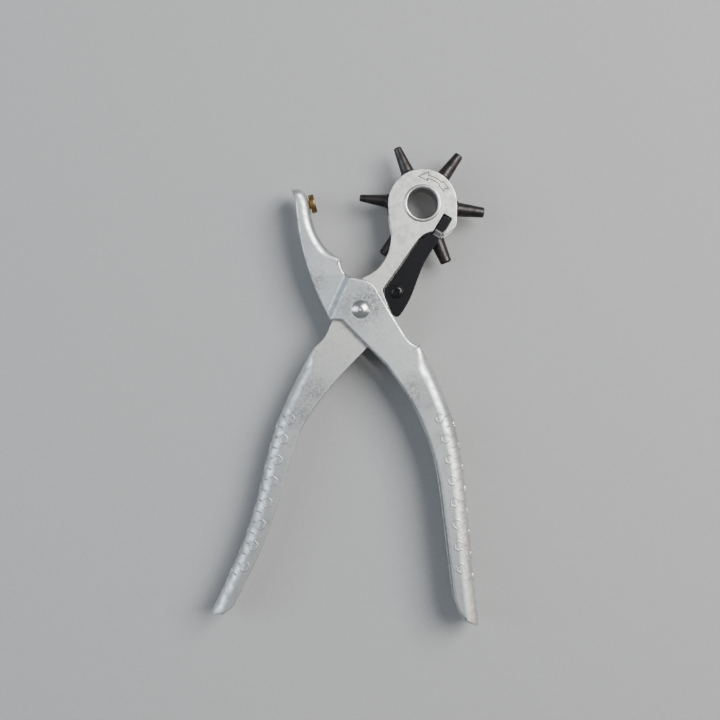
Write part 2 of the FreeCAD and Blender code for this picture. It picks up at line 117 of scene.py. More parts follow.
def spline(points: Points, step: float = 0.5) -> np.ndarray:
    """Natural cubic spline through points.

    The second derivatives at the points solve the usual tridiagonal system on chord lengths, and
    the cubic between two points is evaluated at even chord steps.

    Args:
        points: points of a plan or space curve.
        step: distance between the samples.

    Returns:
        The samples, one row each.
    """
    knots = np.asarray(points, float)
    chord = distances(knots)
    gap = np.diff(chord)
    last = len(knots) - 1
    rows = np.arange(1, last)
    system = np.eye(last + 1)
    system[rows, rows - 1] = gap[:-1]
    system[rows, rows] = 2 * (gap[:-1] + gap[1:])
    system[rows, rows + 1] = gap[1:]
    right = np.zeros_like(knots)
    right[1:-1] = 6 * np.diff(np.diff(knots, axis=0) / gap[:, None], axis=0)
    bend = np.linalg.solve(system, right)
    s = np.linspace(0, chord[-1], max(2, int(round(chord[-1] / step)) + 1))
    i = np.clip(np.searchsorted(chord, s, side="right") - 1, 0, last - 1)
    h = gap[i][:, None]
    ahead, behind = (chord[i + 1] - s)[:, None], (s - chord[i])[:, None]
    curved = (bend[i] * ahead ** 3 + bend[i + 1] * behind ** 3) / (6 * h)
    return (curved + (knots[i] / h - bend[i] * h / 6) * ahead
            + (knots[i + 1] / h - bend[i + 1] * h / 6) * behind)


def distances(points: np.ndarray) -> np.ndarray:
    """Distance along a line of points, from the first to each of them."""
    return np.r_[0, np.cumsum(np.linalg.norm(np.diff(points, axis=0), axis=1))]


def polyline(points: Points, step: float = 0.5) -> np.ndarray:
    """Straight runs between points, sampled at even steps that keep the corners.

    Args:
        points: corners.
        step: largest distance between samples.

    Returns:
        The samples, one row each.
    """
    corners = np.asarray(points, float)
    runs = []
    for a, b in zip(corners, corners[1:]):
        count = max(1, int(math.ceil(np.linalg.norm(b - a) / step)))
        runs.append(a + (b - a) * np.linspace(0, 1, count, endpoint=False)[:, None])
    return np.vstack(runs + [corners[-1:]])


def arc(centre: Place, radius: float, start: float, end: float, step: float = 0.5) -> np.ndarray:
    """Plan arc: centre plus radius times the cosine and sine of angles from start to end.

    Args:
        centre: centre in plan.
        radius: its radius.
        start: first angle in degrees from +X.
        end: last angle in degrees; below start for a clockwise arc.
        step: distance between the samples, of which there are nine or more.

    Returns:
        The samples, one row each.
    """
    turn = math.radians(end - start)
    steps = max(8, int(abs(turn) * radius / step))
    angles = math.radians(start) + np.linspace(0, turn, steps + 1)
    return np.asarray(centre, float)[:2] + radius * np.stack([np.cos(angles), np.sin(angles)], 1)


def hole(centre: Place, radius: float) -> np.ndarray:
    """Clockwise ring of a round hole."""
    return arc(centre, radius, 360, 0)[:-1]


def unit(vectors: np.ndarray) -> np.ndarray:
    """Rows scaled to length one."""
    return vectors / np.maximum(np.linalg.norm(vectors, axis=-1, keepdims=True), TINY)


def heading(degrees: float) -> np.ndarray:
    """Level unit vector at an angle from +X."""
    return np.array([math.cos(math.radians(degrees)), math.sin(math.radians(degrees)), 0.0])


def left_of(direction: np.ndarray) -> np.ndarray:
    """Plan vector turned a quarter to the left."""
    return np.array([-direction[1], direction[0]])


def smooth(t: np.ndarray) -> np.ndarray:
    """Smooth step from 0 to 1: three times the square of t, less twice its cube."""
    return t * t * (3 - 2 * t)


def along(points: np.ndarray, closed: bool) -> np.ndarray:
    """Unit directions of travel at each sample, by central differences.

    Args:
        points: samples of a curve.
        closed: whether the last sample is joined to the first.

    Returns:
        One unit vector per sample.
    """
    if closed:
        return unit(np.roll(points, -1, 0) - np.roll(points, 1, 0))
    return unit(np.gradient(points, axis=0))


def outward(points: np.ndarray, closed: bool) -> np.ndarray:
    """Unit normals on the right of the direction of travel."""
    t = along(points, closed)
    return np.stack([t[:, 1], -t[:, 0]], 1)


def lips(*runs: np.ndarray) -> list[tuple[Edge, np.ndarray]]:
    """Marks stretches of an outline as free edges."""
    return [(Edge.LIP, run) for run in runs]


def outline(runs: Sequence[tuple[Edge, np.ndarray]], rounds: int = 2) -> tuple[np.ndarray, np.ndarray]:
    """Joins runs into one closed outline and eases the corners of its free edges.

    Each round replaces a lip's point by a quarter, a half and a quarter of its neighbours and
    itself.  A lip's point right beside a join keeps only a part of its inset, so that the plate
    and the channel meet without a step.

    Args:
        runs: kind and samples of each stretch, in order.
        rounds: how often the corners are eased.

    Returns:
        The loop's points, and the share of the roll at each of them, which is 0 at a join.
    """
    same_place = 1e-4
    points = np.vstack([run for _, run in runs])
    kind = np.concatenate([np.full(len(run), edge.value) for edge, run in runs])
    apart = np.linalg.norm(points - np.roll(points, 1, 0), axis=1) > same_place
    points, kind = points[apart], kind[apart]
    free = (kind * np.roll(kind, 1) * np.roll(kind, -1) > 0)[:, None]
    for _ in range(rounds):
        eased = (np.roll(points, 1, 0) + 2 * points + np.roll(points, -1, 0)) / 4
        points = np.where(free, eased, points)
    near = np.minimum(np.roll(kind, 1), np.roll(kind, -1))
    return points, np.where(near > 0, kind, JOIN_INSET * kind)


# ---- meshes ----------------------------------------------------------------------------------

class Shell:
    """Vertices in millimetres and faces, gathered for one mesh."""

    MERGE = 2e-6      # metres within which vertices are one
    SLIVER = 1e-7     # metres below which an edge is dissolved

    def __init__(self) -> None:
        """Starts with nothing in it."""
        self.points: list[np.ndarray] = []
        self.faces: list[tuple[int, ...]] = []
        self.count = 0

    def add(self, points: np.ndarray, faces: Sequence[Sequence[int]]) -> None:
        """Adds a piece of mesh.

        Args:
            points: its vertices.
            faces: its faces, as indices into points.
        """
        shift = self.count
        self.faces.extend(tuple(int(i) + shift for i in face) for face in faces)
        self.points.append(np.asarray(points, float).reshape(-1, 3))
        self.count += len(self.points[-1])

    def grid(self, points: np.ndarray, close_u: bool = False, close_v: bool = False) -> None:
        """Adds a surface given as a grid of points, with a quad between each four neighbours.

        Args:
            points: array of shape (u, v, 3).
            close_u: joins the last row to the first.
            close_v: joins the last column to the first.
        """
        rows, columns = points.shape[:2]
        index = np.arange(rows * columns).reshape(rows, columns)
        if close_u:
            index = np.vstack([index, index[:1]])
        if close_v:
            index = np.hstack([index, index[:, :1]])
        quads = np.stack([index[:-1, :-1], index[1:, :-1], index[1:, 1:], index[:-1, 1:]], -1)
        self.add(points.reshape(-1, 3), quads.reshape(-1, 4).tolist())

    def capped_tube(self, grid: np.ndarray) -> None:
        """Adds an open tube with both ends drawn in to a point.

        Args:
            grid: points of the tube, path by section.
        """
        first, last = (np.repeat(end.mean(1, keepdims=True), grid.shape[1], 1)
                       for end in (grid[:1], grid[-1:]))
        self.grid(np.concatenate([first, grid, last]), close_v=True)

    def piece(self, name: str, crease: float = 40.0) -> bpy.types.Object:
        """Makes the mesh: merges doubles, points the faces outwards and shades it smooth.

        Args:
            name: name of the piece.
            crease: edges that turn more than this many degrees stay sharp.

        Returns:
            The new object, at the origin.
        """
        mesh = bpy.data.meshes.new(name)
        mesh.from_pydata((np.vstack(self.points) * MM).tolist(), [], self.faces)
        tidy = bmesh.new()
        tidy.from_mesh(mesh)
        bmesh.ops.remove_doubles(tidy, verts=tidy.verts, dist=self.MERGE)
        bmesh.ops.dissolve_degenerate(tidy, edges=tidy.edges, dist=self.SLIVER)
        bmesh.ops.recalc_face_normals(tidy, faces=tidy.faces)
        tidy.to_mesh(mesh)
        tidy.free()
        mesh.shade_smooth()
        mesh.set_sharp_from_angle(angle=math.radians(crease))
        thing = bpy.data.objects.new(name, mesh)
        bpy.context.scene.collection.objects.link(thing)
        return thing


def turned(profile: Points, centre: Place, axis: Place, segments: int) -> np.ndarray:
    """Surface of revolution: each profile point is a radius and a height carried round an axis.

    Args:
        profile: radius and height pairs.
        centre: point that heights are measured from.
        axis: direction of the axis.
        segments: steps round the axis.

    Returns:
        Grid of points, profile by turn.
    """
    pole = unit(np.asarray(axis, float))
    helper = np.eye(3)[0 if abs(pole[2]) >= 0.9 else 2]    # a direction well away from the axis
    across = unit(np.cross(helper, pole))
    third = np.cross(pole, across)
    angles = np.linspace(0, 2 * math.pi, segments, endpoint=False)
    spokes = np.cos(angles)[:, None] * across + np.sin(angles)[:, None] * third
    radius, height = (column[:, None, None] for column in np.asarray(profile, float).T)
    return np.asarray(centre, float) + height * pole + radius * spokes


def lathe(name: str, profile: Points, centre: Place = ORIGIN, axis: Place = UPRIGHT,
          segments: int = 96, crease: float = 40.0, ring: bool = False) -> bpy.types.Object:
    """Piece turned from one profile.

    Args:
        name: name of the piece.
        profile: radius and height pairs.
        centre: point that heights are measured from.
        axis: direction of the axis.
        segments: steps round the axis.
        crease: edges that turn more than this many degrees stay sharp.
        ring: whether the profile is a closed loop that keeps off the axis.

    Returns:
        The new object.
    """
    shell = Shell()
    shell.grid(turned(profile, centre, axis, segments), close_u=ring, close_v=True)
    return shell.piece(name, crease)


def rod(radius: float, start: float, end: float, direction: Place, height: float = 0.0,
        segments: int = 32) -> bpy.types.Object:
    """Plain round cutter that points away from the turret's axis.

    Args:
        radius: its radius.
        start: distance of its near end from the axis.
        end: distance of its far end.
        direction: where it points.
        height: height of its centre line.
        segments: steps round it.

    Returns:
        The cutter.
    """
    profile = [(0, start), (radius, start), (radius, end), (0, end)]
    return lathe("cutter", profile, (0, 0, height), direction, segments)


def rounded_profile(points: Points, radius: float, steps: int = 5) -> np.ndarray:
    """Profile whose inner corners are replaced by short curves.

    Each corner becomes a quadratic curve from a point before it to a point after it, both the
    radius away, or less on a short side.

    Args:
        points: corners of an open profile.
        radius: distance over which a corner is rounded.
        steps: samples in each curve.

    Returns:
        The new profile.
    """
    longest = 0.45    # share of a side that one corner may take
    corners = np.asarray(points, float)
    t = np.linspace(0, 1, steps)[:, None]
    made = [corners[:1]]
    for before, corner, after in zip(corners, corners[1:], corners[2:]):
        start, end = (corner + unit(other - corner) * min(radius, np.linalg.norm(other - corner) * longest)
                      for other in (before, after))
        made.append((1 - t) ** 2 * start + 2 * t * (1 - t) * corner + t ** 2 * end)
    return np.vstack(made + [corners[-1:]])


def tube(path: np.ndarray, normals: np.ndarray, width: float, height: float, closed: bool,
         sides: int = 8) -> np.ndarray:
    """Round or flattened bead along a path: an ellipse in the plane of the normal and the side.

    Args:
        path: centre line.
        normals: unit normals of the surface that it lies on, one per point.
        width: half the width, across the surface.
        height: half the height, along the normal.
        closed: whether the path is a ring.
        sides: points round the section.

    Returns:
        Grid of points, path by section.
    """
    side = unit(np.cross(along(path, closed), normals))
    angles = np.linspace(0, 2 * math.pi, sides, endpoint=False)[None, :, None]
    return (path[:, None] + width * np.cos(angles) * side[:, None]
            + height * np.sin(angles) * normals[:, None])


@dataclass(frozen=True)
class Plate:
    """Flat pressed plate: an outline with holes, rolled over on its face and crisp behind."""

    low: float
    high: float
    roll: float = 0.6
    burr: float = 0.2
    margin: float = 0.2    # flat ring between the roll and the face

    def rim(self, points: np.ndarray, kind: np.ndarray) -> np.ndarray:
        """Edge surface of one loop.

        Going down, the inset is the roll times one minus the sine of an angle that turns a
        quarter, then the burr times one minus the cosine of another.  A join keeps a plain wall.

        Args:
            points: the loop, counter-clockwise, or clockwise for a hole.
            kind: share of the roll at each point.

        Returns:
            Grid of points, rows from the face to the back.
        """
        quarter = np.linspace(0, math.pi / 2, 6)
        coarse = quarter[::2]
        inset = np.concatenate([[self.roll], self.roll * (1 - np.sin(quarter)),
                                self.burr * (1 - np.cos(coarse)), [self.burr]])
        extra = np.concatenate([[self.margin], np.zeros(len(inset) - 2), [self.margin]])
        height = np.concatenate([[self.high], self.high - self.roll * (1 - np.cos(quarter)),
                                 self.low + self.burr * (1 - np.sin(coarse)), [self.low]])
        moved = inset[:, None] * kind[None] + extra[:, None]
        plan = points[None] - outward(points, True)[None] * moved[..., None]
        level = np.broadcast_to(height[:, None, None], plan.shape[:2] + (1,))
        return np.concatenate([plan, level], -1)

    def build(self, loop: np.ndarray, kind: np.ndarray, holes: Sequence[np.ndarray] = ()) -> Mesh:
        """Closed mesh of the plate.

        Args:
            loop: outline.
            kind: share of the roll at each point of the outline.
            holes: loops of the holes, clockwise.

        Returns:
            Points and faces.
        """
        shell = Shell()
        rims = [self.rim(loop, kind)] + [self.rim(ring, np.ones(len(ring))) for ring in holes]
        starts = []
        for grid in rims:
            starts.append(shell.count)
            shell.grid(grid, close_v=True)
        for row in (0, -1):
            rings = [[Vector((x, y, 0)) for x, y, _ in grid[row]] for grid in rims]
            index = np.concatenate([start + (row % len(grid)) * grid.shape[1] + np.arange(grid.shape[1])
                                    for start, grid in zip(starts, rims)])
            shell.faces.extend(tuple(int(index[i]) for i in triangle)
                               for triangle in tessellate_polygon(rings))
        return np.vstack(shell.points), shell.faces


def sliced(points: np.ndarray, faces: Sequence[Sequence[int]], origin: Place, normal: Place,
           offsets: Sequence[float]) -> Mesh:
    """Cuts a mesh by parallel planes, so that it can be bent between them.

    Args:
        points: vertices.
        faces: faces.
        origin: point that the offsets are measured from.
        normal: direction of the offsets.
        offsets: where the planes are.

    Returns:
        The cut mesh's points and faces.
    """
    on_plane = 1e-5
    mesh = bmesh.new()
    corners = [mesh.verts.new(p) for p in points]
    for face in faces:
        mesh.faces.new([corners[i] for i in face])
    direction = Vector(normal).normalized()
    for offset in offsets:
        everything = mesh.verts[:] + mesh.edges[:] + mesh.faces[:]
        bmesh.ops.bisect_plane(mesh, geom=everything, dist=on_plane,
                               plane_co=Vector(origin) + direction * offset, plane_no=direction)
    mesh.verts.index_update()
    made = np.array([v.co for v in mesh.verts], float)
    cut = [[v.index for v in face.verts] for face in mesh.faces]
    mesh.free()
    return made, cut


@dataclass(frozen=True)
class Channel:
    """Web of a pressed channel with both of its bends, along the lever's back."""

    back: np.ndarray           # samples of the back's outline in plan, counter-clockwise
    half: float                # half the channel's depth
    bend: float                # outside radius of the bends
    sheet: float               # wall
    shear_start: float = 0.0   # slant of the ends, as advance for each unit of inset
    shear_end: float = 0.0
    reach: float = 14.0        # length over which the slant fades out
    ease_start: float = 0.0    # length over which the bend grows to its full radius
    ease_end: float = 0.0
    lip: float = 0.5           # roll of the outer skin at its free ends
    tight: float = 0.3         # share of the bend's radius at an eased end

    def walked(self) -> np.ndarray:
        """Distance along the back of each of its samples."""
        return distances(self.back)

    def fullness(self) -> np.ndarray:
        """Share of the bend's radius: the tight share at an eased end, by a smooth step to 1.

        Returns:
            One number per section.
        """
        walked = self.walked()
        share = np.ones(len(walked))
        for length, gone in ((self.ease_start, walked), (self.ease_end, walked[-1] - walked)):
            if length:
                grown = smooth(np.clip(gone / length, 0, 1))
                share = np.minimum(share, self.tight + (1 - self.tight) * grown)
        return share

    def shift(self) -> np.ndarray:
        """How far along the back each section leans for each unit of inset.

        It is the slant of the nearer end, fading out over the reach by a smooth step.

        Returns:
            One number per section.
        """
        walked = self.walked()
        near = smooth(np.clip(1 - walked / self.reach, 0, 1))
        far = smooth(np.clip(1 - (walked[-1] - walked) / self.reach, 0, 1))
        return self.shear_start * near + self.shear_end * far

    def leaned(self, inset: np.ndarray) -> np.ndarray:
        """Plan points inside the back, slanted near the ends.

        Args:
            inset: distances in from the back, one row for all sections or one row each.

        Returns:
            Grid of plan points, section by inset.
        """
        t, n = along(self.back, False), outward(self.back, False)
        deep = np.broadcast_to(inset, (len(self.back), inset.shape[-1]))[..., None]
        return self.back[:, None] - n[:, None] * deep + t[:, None] * self.shift()[:, None, None] * deep

    def half_section(self, radius: float, wall: float) -> tuple[np.ndarray, np.ndarray]:
        """One skin from the upper flange, round a quarter turn, down the web and round again.

        Args:
            radius: radius of the bends.
            wall: depth of the skin under the outside.

        Returns:
            Insets and heights.
        """
        quarter = np.linspace(0, math.pi / 2, BEND_STEPS)
        web = np.linspace(0, 1, 6)[1:-1]
        inset = wall + radius * (1 - np.sin(quarter))
        upper = self.half - wall - radius * (1 - np.cos(quarter))
        straight = (self.half - wall - radius) * (1 - 2 * web)
        return (np.concatenate([inset, np.full(len(web), wall), inset[::-1]]),
                np.concatenate([upper, straight, -upper[::-1]]))

    def lay_bends(self, grid: np.ndarray) -> None:
        """Lays the outer skin round both bends.

        With w the way from -bend to bend along a section's square corner and r the bend times the
        fullness, the skin keeps to the flange while w < -r and to the web while w > r.  Between
        them the inset is r(1 - sin a) and the drop r(1 - cos a), where a turns a quarter.

        Args:
            grid: the channel's points, section by round; changed in place.
        """
        way = np.linspace(-self.bend, self.bend, BEND_STEPS)[None]
        r = self.bend * self.fullness()[:, None]
        angle = np.clip((way + r) / (2 * r), 0, 1) * math.pi / 2
        inset = np.where(way < -r, -way, r * (1 - np.sin(angle)))
        drop = np.where(way > r, way, r * (1 - np.cos(angle)))
        lower = grid.shape[1] // 2 - BEND_STEPS
        for start, turn in ((0, 1), (lower, -1)):
            height = turn * (self.half - drop[:, ::turn, None])
            grid[:, start:start + BEND_STEPS] = np.concatenate([self.leaned(inset[:, ::turn]), height], -1)

    def roll_ends(self, grid: np.ndarray) -> None:
        """Rolls the outer skin over at the free ends.

        It sinks towards the inner skin by the lip times one minus the square root of
        1 - (1 - g)(1 - g), where g is the distance from the end over the lip, at most 1.

        Args:
            grid: the channel's points, section by round; changed in place.
        """
        half = grid.shape[1] // 2
        walked = self.walked()
        from_start = walked + (BEYOND if self.ease_start else 0)
        from_end = walked[-1] - walked + (BEYOND if self.ease_end else 0)
        gone = np.clip(np.minimum(from_start, from_end) / self.lip, 0, 1)
        sink = self.lip * (1 - np.sqrt(1 - (1 - gone) ** 2))
        fade = np.where(np.isin(np.arange(half), (0, half - 1)), JOIN_INSET, 1.0)
        toward = unit(grid[:, half:][:, ::-1] - grid[:, :half])
        grid[:, :half] += toward * (sink[:, None] * fade)[..., None]

    def add_to(self, shell: Shell) -> None:
        """Adds the web, its bends and its end walls to a shell.

        Args:
            shell: shell that receives the faces.
        """
        outer = self.half_section(self.bend, 0.0)
        inner = self.half_section(self.bend - self.sheet, self.sheet)
        inset, height = (np.r_[a, b[::-1]] for a, b in zip(outer, inner))
        plan = self.leaned(inset)
        level = np.broadcast_to(height[None, :, None], plan.shape[:2] + (1,))
        grid = np.concatenate([plan, level], -1)
        self.lay_bends(grid)
        self.roll_ends(grid)
        shell.grid(grid, close_v=True)
        half = len(inset) // 2
        for row in (0, -1):
            shell.grid(np.stack([grid[row, :half], grid[row, half:][::-1]]))

    def join(self) -> np.ndarray:
        """Plan samples where the flat flange begins."""
        return self.leaned(np.array([self.bend]))[:, 0]

    def skin(self, distance: np.ndarray, across: np.ndarray, side: Side) -> tuple[np.ndarray, np.ndarray]:
        """Points and normals on the outside.

        Across counts from the flange's edge of the bend: below zero on the flat flange, then
        round the bend, then down the web.

        Args:
            distance: distances along the back.
            across: distances across, round the bend.
            side: face of the tool.

        Returns:
            Points, and unit normals.
        """
        walked = self.walked()
        plan, n = (np.stack([np.interp(distance, walked, line[:, i]) for i in (0, 1)], 1)
                   for line in (self.back, outward(self.back, False)))
        n = unit(n)
        turn = np.clip(across / self.bend, 0, math.pi / 2)
        inset = self.bend * (1 - np.sin(turn)) + np.maximum(-across, 0)
        down = np.maximum(across - self.bend * math.pi / 2, 0)
        height = self.half - self.bend * (1 - np.cos(turn)) - down
        points = np.column_stack([plan - n * inset[:, None], side.value * height])
        return points, unit(np.column_stack([n * np.sin(turn)[:, None], side.value * np.cos(turn)]))


def carve(thing: bpy.types.Object, cutters: Sequence[bpy.types.Object], crease: float = 35.0) -> None:
    """Cuts shapes out of a piece for good and removes them.

    Args:
        thing: piece that is cut.
        cutters: closed shapes.
        crease: edges that turn more than this many degrees stay sharp.
    """
    for cutter in cutters:
        cut = thing.modifiers.new("cut", "BOOLEAN")
        cut.operation = "DIFFERENCE"
        cut.solver = "EXACT"
        cut.object = cutter
        graph = bpy.context.evaluated_depsgraph_get()
        made = bpy.data.meshes.new_from_object(thing.evaluated_get(graph))
        thing.modifiers.clear()
        old = thing.data
        thing.data = made
        bpy.data.meshes.remove(old)
        bpy.data.objects.remove(cutter)
    thing.data.shade_smooth()
    thing.data.set_sharp_from_angle(angle=math.radians(crease))


# ---- finishes --------------------------------------------------------------------------------

@dataclass(frozen=True)
class Pattern:
    """Noise over object coordinates, and the range of it that is stretched from 0 to 1."""

    scale: float     # features per metre
    detail: float    # octaves
    low: float = 0.0
    high: float = 1.0


class Nodes:
    """Node tree of one material, with short calls to fill it."""

    MOTTLE = Pattern(1150.0, 5.0, 0.36, 0.62)
    WORN_CORE = 0.3         # share of a worn place's radius that is worn in full
    WORN_STRENGTH = 0.62

    def __init__(self, name: str) -> None:
        """Makes a material with only its output and its shader.

        Args:
            name: name of the material.
        """
        self.material = bpy.data.materials.new(name)
        self.material.use_nodes = True
        self.tree = self.material.node_tree
        self.shader = self.tree.nodes["Principled BSDF"]
        self.where = self.add("ShaderNodeTexCoord").outputs["Object"]

    def add(self, kind: str, **values: object) -> bpy.types.Node:
        """Adds a node.

        Args:
            kind: its type.
            values: properties to set on it.

        Returns:
            The node.
        """
        node = self.tree.nodes.new(kind)
        for key, value in values.items():
            setattr(node, key, value)
        return node

    def link(self, source: Socket, target: Socket) -> None:
        """Joins two sockets."""
        self.tree.links.new(source, target)

    def noise(self, scale: float, detail: float) -> Socket:
        """Noise over object coordinates.

        Args:
            scale: features per metre.
            detail: octaves.

        Returns:
            The factor's socket.
        """
        noise = self.add("ShaderNodeTexNoise")
        noise.inputs["Scale"].default_value = scale
        noise.inputs["Detail"].default_value = detail
        self.link(self.where, noise.inputs["Vector"])
        return noise.outputs["Fac"]

    def spread(self, source: Socket, low: float, high: float, to_low: float, to_high: float) -> Socket:
        """Maps a range of a value to another range, held at its ends.

        Args:
            source: the value.
            low: start of its range.
            high: end of its range.
            to_low: what the start becomes.
            to_high: what the end becomes.

        Returns:
            The result's socket.
        """
        node = self.add("ShaderNodeMapRange")
        ends = {"From Min": low, "From Max": high, "To Min": to_low, "To Max": to_high}
        for key, value in ends.items():
            node.inputs[key].default_value = value
        self.link(source, node.inputs["Value"])
        return node.outputs["Result"]

    def pattern(self, pattern: Pattern, top: float = 1.0) -> Socket:
        """A pattern that goes from 0 to a top value."""
        noise = self.noise(pattern.scale, pattern.detail)
        return self.spread(noise, pattern.low, pattern.high, 0.0, top)

    def mix(self, factor: Socket, low: Rgb | Socket, high: Rgb | Socket) -> Socket:
        """Mixes two colours by a factor.

        Args:
            factor: 0 for the first colour and 1 for the second.
            low: first colour, or a socket that gives it.
            high: second colour, or a socket that gives it.

        Returns:
            The result's socket.
        """
        node = self.add("ShaderNodeMix", data_type="RGBA")
        self.link(factor, node.inputs["Factor"])
        for value, socket in ((low, node.inputs["A"]), (high, node.inputs["B"])):
            if isinstance(value, Socket):
                self.link(value, socket)
            else:
                socket.default_value = (*value, 1)
        return node.outputs["Result"]

    def worn(self, x: float, y: float, radius: float) -> Socket:
        """Mottled patch that fades with the distance from an upright axis.

        Args:
            x: its place in metres.
            y: its place in metres.
            radius: distance in metres at which it is gone.

        Returns:
            The patch's strength, as a socket.
        """
        flat = self.add("ShaderNodeVectorMath", operation="MULTIPLY")
        self.link(self.where, flat.inputs[0])
        flat.inputs[1].default_value = (1, 1, 0)
        away = self.add("ShaderNodeVectorMath", operation="DISTANCE")
        self.link(flat.outputs[0], away.inputs[0])
        away.inputs[1].default_value = (x, y, 0)
        near = self.spread(away.outputs["Value"], radius * self.WORN_CORE, radius, self.WORN_STRENGTH, 0.0)
        both = self.add("ShaderNodeMath", operation="MULTIPLY")
        self.link(near, both.inputs[0])
        self.link(self.pattern(self.MOTTLE), both.inputs[1])
        return both.outputs[0]

    def bump(self, height: Socket, depth: float, strength: float, base: Socket | None = None) -> Socket:
        """Bump from a height.

        Args:
            height: the height, from 0 to 1.
            depth: what a height of 1 stands for, in metres.
            strength: how much of it shows.
            base: normal of an earlier bump that it goes over.

        Returns:
            The normal's socket.
        """
        node = self.add("ShaderNodeBump")
        node.inputs["Distance"].default_value = depth
        node.inputs["Strength"].default_value = strength
        self.link(height, node.inputs["Height"])
        if base is not None:
            self.link(base, node.inputs["Normal"])
        return node.outputs["Normal"]


@dataclass(frozen=True)
class Metal:
    """A metal finish: two tones in patches, a fine grain, and roughness that follows them."""

    name: str
    light: Rgb
    dark: Rgb
    smooth: float                    # roughness in the light tone
    rough: float                     # roughness in the dark tone
    metallic: float = 1.0
    patch: float = 130.0             # patches and grains per metre
    grain: float = 2600.0
    grain_depth: float = 0.00002     # metres, as is the wave's depth
    grain_strength: float = 0.25
    wave_depth: float = 0.0004
    wave_strength: float = 0.0
    coat: float = 0.0
    coat_roughness: float = 0.12
    speckle: float = 0.0             # strength of the dark spots and broad stains
    spots: Pattern = Pattern(950.0, 3.0, 0.56, 0.74)
    broad: Pattern = Pattern(38.0, 4.0, 0.52, 0.78)
    broad_tone: float = 0.8          # tone of a broad stain and of a worn place, against the dark tone
    worn_tone: float = 0.42
    grain_share: float = 0.35        # share of the grain in the roughness, beside the patches
    upper: Rgb | None = None         # light tone that takes over above the handles
    upper_from: float = -0.082       # metres up the tool between which it does
    upper_to: float = -0.052
    stains: tuple[Rgb, ...] = ()     # worn places: x, y and radius in metres

    def darker(self, share: float) -> Rgb:
        """The dark tone, darkened to a share of itself."""
        return tuple(share * tone for tone in self.dark)

    def build(self) -> bpy.types.Material:
        """Makes the material.

        Returns:
            The material.
        """
        nodes = Nodes(self.name)
        shader = nodes.shader
        shader.inputs["Metallic"].default_value = self.metallic
        if self.coat:
            shader.inputs["Coat Weight"].default_value = self.coat
            shader.inputs["Coat Roughness"].default_value = self.coat_roughness
        patches = nodes.pattern(Pattern(self.patch, 5.0, 0.36, 0.66))
        fine = nodes.noise(self.grain, 2.0)
        light = self.light
        if self.upper:
            split = nodes.add("ShaderNodeSeparateXYZ")
            nodes.link(nodes.where, split.inputs[0])
            above = nodes.spread(split.outputs["Y"], self.upper_from, self.upper_to, 0.0, 1.0)
            light = nodes.mix(above, self.light, self.upper)
        colour = nodes.mix(patches, light, self.dark)
        if self.speckle:
            colour = nodes.mix(nodes.pattern(self.spots, self.speckle), colour, self.dark)
            colour = nodes.mix(nodes.pattern(self.broad, self.speckle), colour, self.darker(self.broad_tone))
        for x, y, radius in self.stains:
            colour = nodes.mix(nodes.worn(x, y, radius), colour, self.darker(self.worn_tone))
        nodes.link(colour, shader.inputs["Base Color"])
        tone = nodes.add("ShaderNodeMath", operation="MULTIPLY_ADD")
        nodes.link(fine, tone.inputs[0])
        tone.inputs[1].default_value = self.grain_share
        nodes.link(patches, tone.inputs[2])
        roughness = nodes.spread(tone.outputs[0], 0.0, 1 + self.grain_share, self.smooth, self.rough)
        nodes.link(roughness, shader.inputs["Roughness"])
        normal = nodes.bump(fine, self.grain_depth, self.grain_strength)
        if self.wave_strength:
            normal = nodes.bump(nodes.noise(70.0, 1.5), self.wave_depth, self.wave_strength, normal)
        nodes.link(normal, shader.inputs["Normal"])
        return nodes.material


class Finish(Enum):
    """Finishes of the tool's pieces."""

    ZINC = Metal("zinc_plate", (0.80, 0.825, 0.815), (0.50, 0.52, 0.52), 0.34, 0.52, patch=360.0,
                 grain_strength=0.4, wave_strength=0.12, speckle=0.85,
                 stains=((-0.0267, -0.046, 0.013), (-0.0215, -0.041, 0.009),
                         (-0.0465, -0.034, 0.007), (-0.004, -0.081, 0.010)))
    FORK = Metal("warm_zinc_plate", (0.72, 0.735, 0.73), (0.49, 0.50, 0.49), 0.36, 0.54, patch=340.0,
                 grain_strength=0.35, wave_strength=0.08, speckle=0.7, upper=(0.87, 0.845, 0.76),
                 stains=((-0.0465, -0.0815, 0.009), (-0.0525, -0.0915, 0.008)))
    RIVET = Metal("bright_rivet", (0.84, 0.85, 0.86), (0.70, 0.71, 0.72), 0.20, 0.30, patch=500.0)
    AXLE = Metal("bright_axle", (0.78, 0.79, 0.79), (0.60, 0.59, 0.57), 0.30, 0.40, patch=600.0,
                 grain_strength=0.02)
    BARE = Metal("bare_steel", (0.50, 0.50, 0.50), (0.38, 0.38, 0.38), 0.3, 0.5)
    BRASS = Metal("dull_brass", (0.33, 0.21, 0.085), (0.18, 0.11, 0.045), 0.35, 0.5, patch=600.0)
    BLACK = Metal("black_oxide", (0.020, 0.019, 0.020), (0.010, 0.010, 0.010), 0.30, 0.46,
                  metallic=0.7, patch=300.0, coat=0.4)
    PUNCH = Metal("worn_black_steel", (0.060, 0.054, 0.052), (0.030, 0.027, 0.027), 0.32, 0.48,
                  metallic=0.8, patch=420.0)
    SPRING = Metal("blued_spring", (0.030, 0.030, 0.034), (0.012, 0.012, 0.013), 0.22, 0.38,
                   metallic=0.85, patch=160.0, speckle=0.4, coat=0.6)
    ETCH = Metal("etched_line", (0.075, 0.073, 0.068), (0.04, 0.04, 0.038), 0.5, 0.65)


class Palette:
    """Materials made once and handed out by finish."""

    def __init__(self) -> None:
        """Makes every finish's material."""
        self.made = {finish: finish.value.build() for finish in Finish}

    def dress(self, thing: bpy.types.Object, finish: Finish) -> None:
        """Gives a piece one finish."""
        thing.data.materials.clear()
        thing.data.materials.append(self.made[finish])


# ---- sub-assemblies --------------------------------------------------------------------------

